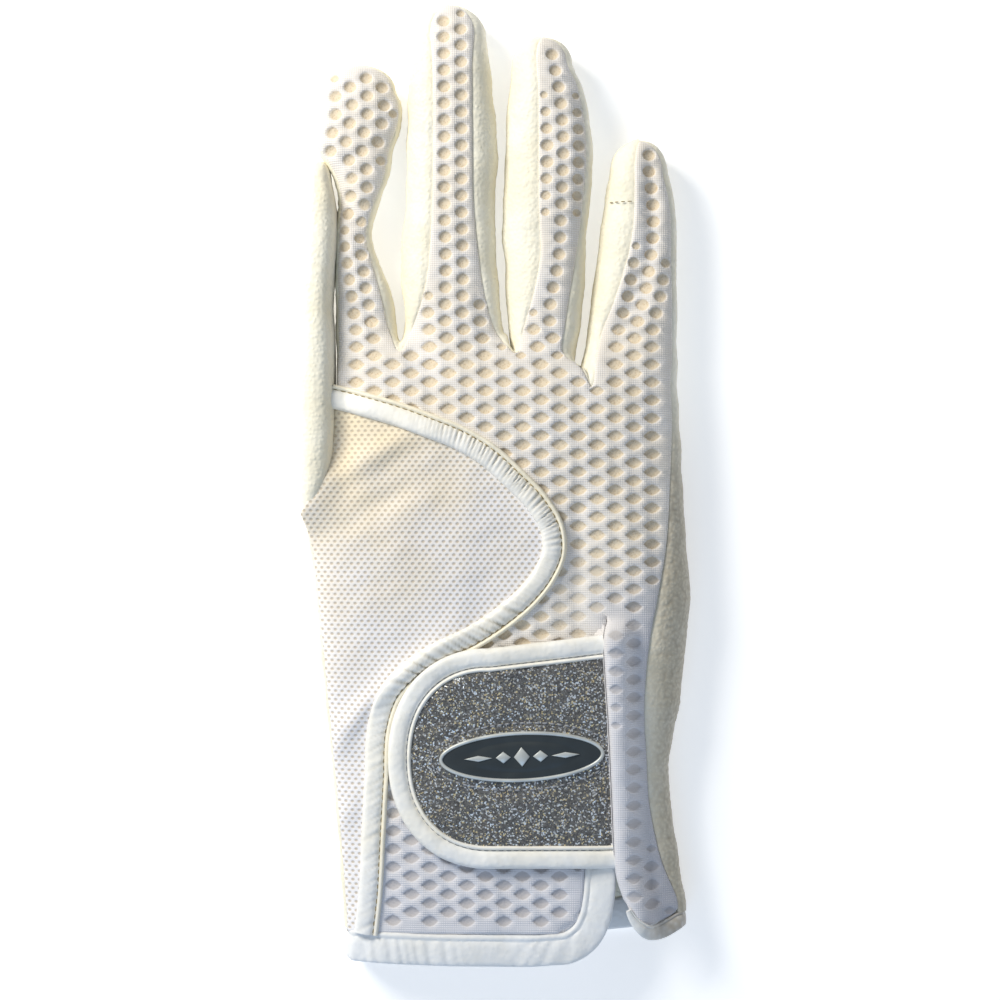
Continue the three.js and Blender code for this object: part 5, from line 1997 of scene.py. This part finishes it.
@dataclass
class TabPart:
    """The closing tab: glitter panel, its tape and the fastener under it."""

    form: GloveForm
    length: float = 54.2
    round: float = 25.8
    height: float = 56.0
    tape_width: float = 6.0
    tape_thickness: float = 2.1
    wall: float = 1.2
    raised: float = 0.9

    def __post_init__(self) -> None:
        """Works out the tab's places from its sizes."""
        self.end = float(across_hand(TAB_END))
        self.tip = self.end - self.length
        self.round_from = self.tip + self.round
        self.middle_y = float(up_hand(TAB_LEVEL))

    def outline(self, inset: float, tongue: float = 0.0) -> Array:
        """The tab's border, from the top right round the left to the bottom right.

        Args:
            inset: Distance inside the tab's edge.
            tongue: How far it runs on under the flap.

        Returns:
            Points seen from above.
        """
        half = self.height / 2
        share = np.linspace(1, 0, 14)
        x = self.round_from + (self.end - self.round_from) * share
        top = np.column_stack([x, self.middle_y + half - inset + 3.3 * share])
        turn = np.linspace(math.pi / 2, -math.pi / 2, 40)[1:-1]
        power = 2 / 2.2
        cos, sin = signed_power(np.cos(turn), power), signed_power(np.sin(turn), power)
        reach = self.round_from - self.tip - inset
        bend = np.column_stack([self.round_from - reach * cos, self.middle_y + (half - inset) * sin])
        low = np.column_stack([x[::-1], np.full(14, self.middle_y - half + inset)])
        rows = [top, bend, low]
        if tongue:
            inner = (half - inset - CLEARANCE) * np.linspace(-1, 1, 24)
            rows.append(np.column_stack([np.full(24, self.end + tongue), self.middle_y + inner]))
        return np.vstack(rows)

    def build(self, shop: Workshop, finishes: Finishes) -> None:
        """Makes the panel, its tape and the fastener.

        Args:
            shop: Makes the objects.
            finishes: The glove's materials.
        """
        form = self.form
        outline = smooth_path(self.outline(self.tape_width - 0.8, 3.0), 1.1)
        inner = np.vstack([fill_points(outline, 1.3, 0.8), inner_band(outline, 0.5)])
        cos, sin = math.cos(BADGE_TILT), math.sin(BADGE_TILT)
        half_length, half_width = 23.2, 8.6

        def over(flat: Array, source: Array) -> Array:
            """The panel's face, pressed in round the badge.

            Args:
                flat: Points seen from above.
                source: Number of each point in outline and inner, or -1.

            Returns:
                Points in millimetres.
            """
            x, y = flat[:, 0], flat[:, 1]
            away_x, away_y = x - form.badge[0], y - form.badge[1]
            along, up = away_x * cos + away_y * sin, away_y * cos - away_x * sin
            oval = np.sqrt((along / half_length) ** 2 + (up / half_width) ** 2)
            press = -0.28 * np.exp(-(((oval - 1) * half_width / 0.9) ** 2))
            z = form.top(x, y) + self.raised + self.wall + press - 0.5 * near_border(flat, outline, 0.9)
            return np.column_stack([x, y, z + 0.12 * soft_noise(x, y, 8, 41)])

        def under(flat: Array) -> Array:
            """The panel's underside."""
            return np.column_stack([flat, form.top(flat[:, 0], flat[:, 1]) + self.raised])

        shop.sheet(
            "tab_glitter", outline, inner, 2.6, over, under, finishes.glitter, Slot.GLITTER, "tab_panel",
        )
        self.tape().build(shop, finishes.tape)
        self.fastener(shop, finishes.fastener)

    def tape(self) -> Tape:
        """The tape round the panel, whose ends run on under the flap.

        Returns:
            The tape, not yet built.
        """
        path = self.outline(self.tape_width / 2)
        path = np.vstack([path[0] + (3.5, 0.4), path, path[-1] + (5.0, 0.2)])

        def pleats(run: Array, share: float) -> Array:
            """Slight gathers, up to the groove."""
            return 0.05 * pleat_wave(run + share * 3, 4.1, 9) * float(share < 0.27)

        return Tape(
            self.form, "tab_binding", "tab_tape", path, self.tape_width, self.tape_thickness, self.raised,
            pleats, self.form.top,
        )

    def fastener(self, shop: Workshop, finish: Material) -> None:
        """Makes the patch under the tab.

        Args:
            shop: Makes the objects.
            finish: The pieces' material.
        """
        form, inset = self.form, 11.0
        left, right = self.tip + inset, self.tip + inset + self.length - 1.6 * inset
        low, high = self.middle_y - self.height / 2 + inset, self.middle_y + self.height / 2 - inset
        share = np.linspace(0, 1, 20)[:, None]
        corners = np.array([(left, low), (right, low), (right, high), (left, high)])
        ends = zip(corners, np.roll(corners, -1, axis=0))
        outline = np.vstack([a + (b - a) * share[:-1] for a, b in ends])

        def over(flat: Array, source: Array) -> Array:
            """The pad's face, lower at its border."""
            z = form.top(flat[:, 0], flat[:, 1]) + 0.85
            return np.column_stack([flat, z - 0.25 * (outline_distance(flat, outline) < 0.1)])

        def under(flat: Array) -> Array:
            """The pad's foot, just off the mesh."""
            return np.column_stack([flat, form.top(flat[:, 0], flat[:, 1]) + 0.1])

        inner = fill_points(outline, 2.0, 0.8)
        shop.sheet(
            "tab_fastener", outline, inner, 3.0, over, under, finish, Slot.FASTENER, "fastener_patch",
        )


@dataclass
class MeshInsert:
    """The fine mesh on the thumb's side, from the first seam to the hem."""

    form: GloveForm
    wall: float = 1.2

    def outline(self) -> Array:
        """The insert's border, from the first seam down the thumb's side and up the tape.

        Returns:
            Its points, anticlockwise.
        """
        form = self.form
        up = np.linspace(0.907, HEM_LEVEL, 151)
        y = up_hand(up)
        beside = np.interp(up, (0.7, 0.745, 0.83, 0.86), (0.5, -1.0, -1.2, -0.3))
        left = form.hand_left(up) + beside
        right = np.maximum(form.seam_x(y) - CLEARANCE, left + 1)
        down = np.column_stack([left, y])
        foot = np.column_stack([np.linspace(left[-1], right[-1], 12)[1:-1], np.full(10, y[-1])])
        rise = np.column_stack([right, y])[::-1]
        return np.vstack([down, foot, rise])

    def build(self, shop: Workshop, finish: Material) -> Piece:
        """Makes the insert.

        Args:
            shop: Makes the objects.
            finish: The pieces' material.

        Returns:
            The insert.
        """
        form, outline = self.form, self.outline()
        inner = np.vstack([inner_band(outline, 0.5), fill_points(outline, 1.4, 1.0)])

        def over(flat: Array, source: Array) -> Array:
            """The outer face, rounded at the border."""
            return on_surface(form.top, flat[:, 0], flat[:, 1], -0.35 * near_border(flat, outline, 0.6))

        def under(flat: Array) -> Array:
            """The inner face, one wall below."""
            drop = wall_drop(form.top, flat[:, 0], flat[:, 1], self.wall)
            return np.column_stack([flat, form.top(flat[:, 0], flat[:, 1]) - drop])

        return shop.sheet(
            "insert_cloth", outline, inner, 3.0, over, under, finish, Slot.FINE_MESH, "mesh_insert",
        )


HEM_PROFILE = [
    (0.5, 0.1), (0.485, 0.5), (0.43, 0.82), (0.33, 0.98), (0.15, 1.0), (-0.05, 0.97), (-0.18, 0.86),
    (-0.26, 0.62), (-0.3, 0.45), (-0.34, 0.66), (-0.4, 0.78), (-0.46, 0.66), (-0.5, 0.1), (-0.49, -0.5),
    (-0.4, -0.9), (0, -1), (0.4, -0.9), (0.49, -0.5),
]


@dataclass
class HemTape:
    """The tape round the wrist opening, from the slit round the palm to the flap."""

    form: GloveForm
    width: float = 8.1
    flap_width: float = 4.2
    thickness: float = 2.2

    def stations(self) -> Array:
        """Rows of place, outward direction and width along the tape.

        Returns:
            The rows, from the slit over the back and the palm to the flap.
        """
        form, half = self.form, self.thickness / 2
        back = smooth_path(np.array([
            (0.302, 0.166), (0.297, 0.117), (0.288, 0.084), (0.265, 0.052), (0.219, 0.031), (0.141, 0.025),
            (-0.05, 0.024), (-0.25, 0.026), (-0.4, 0.029),
        ]) * (PALM_WIDTH, PALM_LENGTH), 5.0)
        rows = [(x, y, float(form.top(x, y)) - half / 2, 0, 0, 1, self.width) for x, y in back]
        left_x, left_y = across_hand(-0.434), up_hand(0.029)
        right_x, right_y = across_hand(0.553), up_hand(0.079)
        left_top = float(form.top(left_x + 3.4, left_y)) - half / 2
        right_top = float(form.flap_top(right_x - SEAM_INSET, right_y)) - half / 2
        under = PALM_INSET - half
        rows += self.bend(Side.LEFT, left_x, left_y, left_top, 3.4 - half, (0.35, 0.8, 1.25), self.width)
        rows += self.bend(Side.LEFT, left_x, left_y, left_top, under, (1.75, 2.3, 2.8), self.width)
        for share in np.linspace(0, 1, 7):
            x = left_x + PALM_INSET + 1 + (right_x - left_x - 2 * PALM_INSET - 2) * share
            rows.append((x, left_y + (right_y - left_y) * share, half, 0, 0, -1, self.width))
        rows += self.bend(Side.RIGHT, right_x, right_y - 1, right_top, under, (2.8, 2.3, 1.75), 5.2)
        rows += self.bend(
            Side.RIGHT, right_x, right_y - 1.4, right_top, SEAM_INSET / 2, (1.25, 0.8), self.flap_width,
        )
        flap = smooth_path(np.array([
            (0.531, 0.0694, 4.1), (0.505, 0.0618, 4.2), (0.471, 0.0541, 4.2), (0.44, 0.0554, 3.8),
            (0.41, 0.0675, 3.0), (0.39, 0.081, 2.2), (0.379, 0.093, 1.5),
        ]) * (PALM_WIDTH, PALM_LENGTH, 1), 1.4)
        rows += [(x, y, float(form.flap_top(x, y)) - half / 2, 0, 0, 1, width) for x, y, width in flap]
        return np.array(rows, float)

    def bend(
        self, side: Side, edge: float, y: float, top: float, reach: float, turns: tuple[float, ...],
        width: float,
    ) -> list[tuple[float, ...]]:
        """Stations round one side of the hand.

        Args:
            side: The side that the tape goes round.
            edge: Place across of the hand's edge.
            y: Place along.
            top: Height of the tape on the back.
            reach: How far the turn lies inside the edge at its end.
            turns: Angles from straight up, in radians.
            width: The tape's width.

        Returns:
            Rows of place, outward direction and width.
        """
        sign, half = side.value, self.thickness / 2
        rows = []
        for turn in turns:
            sin, cos = math.sin(turn), math.cos(turn)
            z = SEAM_LEVEL + (top - SEAM_LEVEL) * cos if cos > 0 else half + (SEAM_LEVEL - half) * (1 + cos)
            rows.append((edge - sign * half - sign * reach * (1 - sin), y, z, sign * sin, 0, cos, width))
        return rows

    def build(self, shop: Workshop, finish: Material) -> Piece:
        """Sweeps the tape round the opening.

        Args:
            shop: Makes the objects.
            finish: The pieces' material.

        Returns:
            The tape.
        """
        rows = smooth_path(self.stations(), 0.55)
        place, out, width = rows[:, :3], unit(rows[:, 3:6]), rows[:, 6:]
        side = unit(np.cross(out, unit(np.gradient(place, axis=0))))
        run = np.concatenate([[0], np.cumsum(np.linalg.norm(np.diff(place, axis=0), axis=1))])
        gathered = smooth_step(run, 45, 60) * (1 - smooth_step(run, 92, 100))
        slack = smooth_step(run, 8, 16) * (1 - smooth_step(run, 34, 46))
        half = self.thickness / 2
        sections = []
        for share, height in HEM_PROFILE:
            gather = 0.5 * gathered * pleat_wave(run + share * 2, 2.9, 15)
            gather = gather + 0.5 * slack * pleat_wave(run - share * 5, 5.2, 16)
            gather = gather * max(0.0, height) * (share > -0.28)
            sections.append(place + side * width * share + out * (height * half - gather)[:, None])
        points, faces = swept(np.stack(sections, axis=1))
        return shop.piece("hem_binding", points, faces, finish, Slot.TAPE, ("hem_tape",))


@dataclass
class Badge:
    """The oval badge on the tab: its plate, its light rim and a row of lozenges."""

    form: GloveForm
    tab: TabPart
    length: float = 41.8
    width: float = 12.8
    rim: float = 0.9
    plate_inset: float = 0.6
    sunk: float = 0.25
    steps: tuple[tuple[float, float], ...] = (
        (0.3, 0.1), (0.5, 0.05), (0.9, -0.12), (0.35, 0), (0.25, 0.12), (1.0, 0.05), (1.0, 0), (1.0, 0),
    )

    def flat_shape(
        self, name: str, corners: int, half_length: float, half_width: float, along: float = 0.0,
        raised: float = 0.0,
    ) -> Piece:
        """A flat oval, or a lozenge where it has four corners, turned as the badge is.

        Args:
            name: The object's name.
            corners: Points round it.
            half_length: Half its size along the badge, in millimetres.
            half_width: Half its size across the badge.
            along: How far along the badge its middle lies.
            raised: How high it lies.

        Returns:
            The object, selected and active.
        """
        spot = np.array([[*self.form.badge, 0.0]])
        spot = spot + (along * math.cos(BADGE_TILT), along * math.sin(BADGE_TILT), raised)
        bpy.ops.mesh.primitive_circle_add(vertices=corners, radius=1, fill_type="NGON")
        shape = bpy.context.object
        shape.name = name
        shape.scale = (half_length * MM, half_width * MM, 1)
        shape.rotation_euler = (0, 0, BADGE_TILT)
        shape.location = self.form.placed(spot)[0]
        bpy.ops.object.transform_apply(location=True, rotation=True, scale=True)
        return shape

    def laid(self, piece: Piece) -> None:
        """Bends a flat piece to the tab that it lies on.

        Args:
            piece: The object.
        """
        places = np.empty(len(piece.data.vertices) * 3)
        piece.data.vertices.foreach_get("co", places)
        places = places.reshape(-1, 3)
        flat = places / MM - self.form.shift
        raised = self.tab.raised + self.tab.wall - self.sunk
        places[:, 2] += (self.form.top(flat[:, 0], flat[:, 1]) + raised) * MM
        piece.data.vertices.foreach_set("co", places.ravel())
        piece.data.update()

    def build(self, shop: Workshop, finishes: Finishes) -> None:
        """Makes the plate, its rim and the row of lozenges.

        Args:
            shop: Makes the objects.
            finishes: The glove's materials.
        """
        half = self.width / 2 - self.plate_inset
        plate = self.flat_shape("badge_face", 120, self.length / 2 - self.plate_inset, half)
        centre = tuple(self.form.placed(np.array([[*self.form.badge, 0]]))[0])
        with editing():
            extrude(0.7)
            for narrower, deeper in self.steps:
                extrude(deeper)
                share = (half - narrower) / half
                bpy.ops.transform.resize(value=(share, share, 1), center_override=centre)
                half -= narrower
        self.laid(plate)
        shop.dress(plate, finishes.badge, ("badge_plate",))
        rim = self.flat_shape("badge_edge", 120, self.length / 2, self.width / 2)
        with editing():
            bpy.ops.mesh.inset(thickness=self.rim * MM, depth=0)
            bpy.ops.mesh.delete(type="FACE")
            bpy.ops.mesh.select_all(action="SELECT")
            extrude(0.8)
            bpy.ops.mesh.inset(thickness=0.22 * MM, depth=0.3 * MM)
        self.laid(rim)
        shop.dress(rim, finishes.rim, ("badge_rim",))
        self.ornament(shop, finishes.rim)

    def lozenge(self, along: float, half_length: float, half_width: float) -> Piece:
        """A raised lozenge with sloping sides.

        Args:
            along: Place along the badge, in millimetres.
            half_length: Half its size along the badge.
            half_width: Half its size across.

        Returns:
            The object.
        """
        lozenge = self.flat_shape("badge_ornament", 4, half_length, half_width, along, 0.45)
        with editing():
            extrude(0.55)
            bpy.ops.mesh.inset(thickness=0.16 * MM, depth=0.16 * MM)
        return lozenge

    def ornament(self, shop: Workshop, finish: Material) -> None:
        """Makes a row of lozenges that tapers to both ends of the plate.

        Args:
            shop: Makes the objects.
            finish: The pieces' material.
        """
        row = [self.lozenge(0, 2.0, 2.5)]
        for side in (-1, 1):
            row.append(self.lozenge(side * 4.7, 1.9, 1.5))
            row.append(self.lozenge(side * 11.0, 3.6, 0.75))
        select_only(row[0])
        for lozenge in row:
            lozenge.select_set(True)
        bpy.ops.object.join()
        self.laid(row[0])
        shop.dress(row[0], finish)


@dataclass
class Stitching:
    """Rows of stitches, each row one piece of many small threads."""

    form: GloveForm
    long: float = 1.25
    thick: float = 0.25
    around: int = 6

    def row(
        self, shop: Workshop, name: str, path: Array, finish: Material, pitch: float = 1.9,
    ) -> None:
        """Sews one row.

        Args:
            shop: Makes the object.
            name: The row's name.
            path: Points that the stitches lie on, in the form's millimetres.
            finish: The thread's material.
            pitch: Distance from one stitch to the next.
        """
        path = smooth_path(path, pitch)
        turn = np.arange(self.around) / self.around * 2 * math.pi
        points, faces = [], []
        for i in range(len(path) - 1):
            middle = (path[i] + path[i + 1]) / 2
            ahead = unit(path[i + 1] - path[i])
            across = unit(np.cross(ahead, (0, 0, 1)))
            up = np.cross(across, ahead)
            base = len(points)
            for share, size, rise in ((-0.42, 0.75, 0.0), (0.0, 1.0, 0.1), (0.42, 0.75, 0.0)):
                spot = middle + ahead * share * self.long + up * rise
                for angle in turn:
                    out = across * math.cos(angle) + up * math.sin(angle)
                    points.append(spot + out * self.thick * size)
            points.append(middle - ahead * self.long * 0.56 - up * 0.12)
            points.append(middle + ahead * self.long * 0.56 - up * 0.12)
            second, third, end = (base + n * self.around for n in (1, 2, 3))
            for j in range(self.around):
                k = (j + 1) % self.around
                faces.append([base + j, base + k, second + k, second + j])
                faces.append([second + j, second + k, third + k, third + j])
                faces.append([base + k, base + j, end])
                faces.append([third + j, third + k, end + 1])
        shop.piece(name, np.array(points), faces, finish, Slot.TAPE)


class Studio:
    """Floor, lights and camera."""

    def __init__(self) -> None:
        """Sets the tone curve that the whites are shown with."""
        bpy.context.scene.view_settings.view_transform = "Standard"

    def floor(self) -> None:
        """A plain pale floor under the glove."""
        bpy.ops.mesh.primitive_plane_add(size=6, location=(0, 0, -0.0002))
        floor = bpy.context.object
        floor.name = "floor"
        shader = Shader("floor_paper")
        cloud = shader.noise(90)
        colour = shader.mix(cloud, linear(250, 250, 250), linear(252, 252, 252))
        floor.data.materials.append(shader.finished({
            "Base Color": colour, "Roughness": 0.95,
            "Emission Color": (1.0, 1.0, 1.0, 1.0), "Emission Strength": 0.4,
        }))

    def lamp(
        self, name: str, place: tuple[float, ...], size: float, power: float, colour: tuple[float, ...],
    ) -> None:
        """A soft square lamp aimed at the glove.

        Args:
            name: The lamp's name.
            place: Where it hangs, in metres.
            size: Side of the square.
            power: Watts.
            colour: Its light's colour.
        """
        data = bpy.data.lights.new(name, "AREA")
        data.size, data.energy, data.color = size, power, colour
        lamp = bpy.data.objects.new(name, data)
        lamp.location = place
        lamp.rotation_euler = (-Vector(place)).to_track_quat("-Z", "Y").to_euler()
        bpy.context.scene.collection.objects.link(lamp)

    def light(self) -> None:
        """A warm key from the upper left, a cool fill from the lower right and a pale sky."""
        self.lamp("key", (-0.40, 0.34, 0.36), 0.26, 4.1, (1.0, 0.955, 0.87))
        self.lamp("fill", (-0.02, -0.46, 0.36), 0.3, 0.6, (0.42, 0.66, 1.0))
        world = bpy.data.worlds.new("sky")
        world.use_nodes = True
        background = world.node_tree.nodes["Background"]
        background.inputs["Color"].default_value = (0.84, 0.91, 1.0, 1.0)
        background.inputs["Strength"].default_value = 0.36
        bpy.context.scene.world = world

    def camera(self) -> None:
        """A camera straight above, as the photograph was taken."""
        data = bpy.data.cameras.new("camera")
        distance, seen_width, sensor = 0.635, 0.255, 36
        data.sensor_width, data.lens = sensor, sensor * distance / seen_width
        data.dof.use_dof = False
        camera = bpy.data.objects.new("camera", data)
        camera.location = (0.0012, -0.0046, distance + 0.012)
        bpy.context.scene.collection.objects.link(camera)
        bpy.context.scene.camera = camera


def sew(form: GloveForm, shop: Workshop, finishes: Finishes, tab: TabPart) -> None:
    """Adds the rows of stitches.

    Args:
        form: The glove's surface.
        shop: Makes the objects.
        finishes: The thread's material.
        tab: The closing tab, for its border.
    """
    stitching = Stitching(form)
    stitching.row(shop, "stitches_seam", SeamTape.laid(form).groove(SEAM_PATH), finishes.thread)
    groove = tab.tape().groove(tab.outline(tab.tape_width / 2))
    stitching.row(shop, "stitches_tab", groove, finishes.grey_thread)
    turn = np.linspace(0, 2 * math.pi, 80)
    cos, sin = math.cos(BADGE_TILT), math.sin(BADGE_TILT)
    along, up = 23.0 * np.cos(turn), 8.5 * np.sin(turn)
    x = form.badge[0] + along * cos - up * sin
    y = form.badge[1] + along * sin + up * cos
    oval = np.column_stack([x, y, form.top(x, y) + tab.raised + tab.wall - 0.2])
    stitching.row(shop, "stitches_badge", oval, finishes.grey_thread)
    y = np.full(12, up_hand(1.236))
    along = (y - LITTLE.root_y) / LITTLE.length
    edge, seam = LITTLE.x("left", along), LITTLE.x("back_left", along)
    share = np.linspace(0.06, 0.86, 12)
    x = seam + (edge - seam) * share
    crown = form.top(seam, y) - 0.3
    ridge = np.column_stack([x, y, SEAM_LEVEL + (crown - SEAM_LEVEL) * np.sqrt(1 - share**2) + 0.1])
    Stitching(form, 1.1, 0.15).row(shop, "stitches_little", ridge, finishes.thread, 1.7)


def main() -> None:
    """Builds the glove piece by piece and reports each one."""
    logging.basicConfig(level=logging.INFO, format="%(name)s %(message)s")
    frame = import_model()
    bpy.ops.object.select_all(action="DESELECT")
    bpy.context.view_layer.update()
    LOG.info("frame: %d nodes", len(frame["nodes"]))
    studio = Studio()
    studio.camera()
    form = GloveForm()
    borders = Borders(form)
    shop = Workshop(form)
    finishes = Finishes()
    HoneycombBack(form, borders).build(shop, finishes.honeycomb)
    MeshInsert(form).build(shop, finishes.fine_mesh)
    SidePanels(form, borders).build(shop, finishes.leather)
    PalmLeather(form, borders).build(shop, finishes.leather)
    ThumbLeather(form).build(shop, finishes.leather)
    SeamTape.laid(form).build(shop, finishes.tape)
    HemTape(form).build(shop, finishes.tape)
    tab = TabPart(form)
    tab.build(shop, finishes)
    Badge(form, tab).build(shop, finishes)
    sew(form, shop, finishes, tab)
    studio.floor()
    studio.light()


if __name__ == "__main__":
    main()
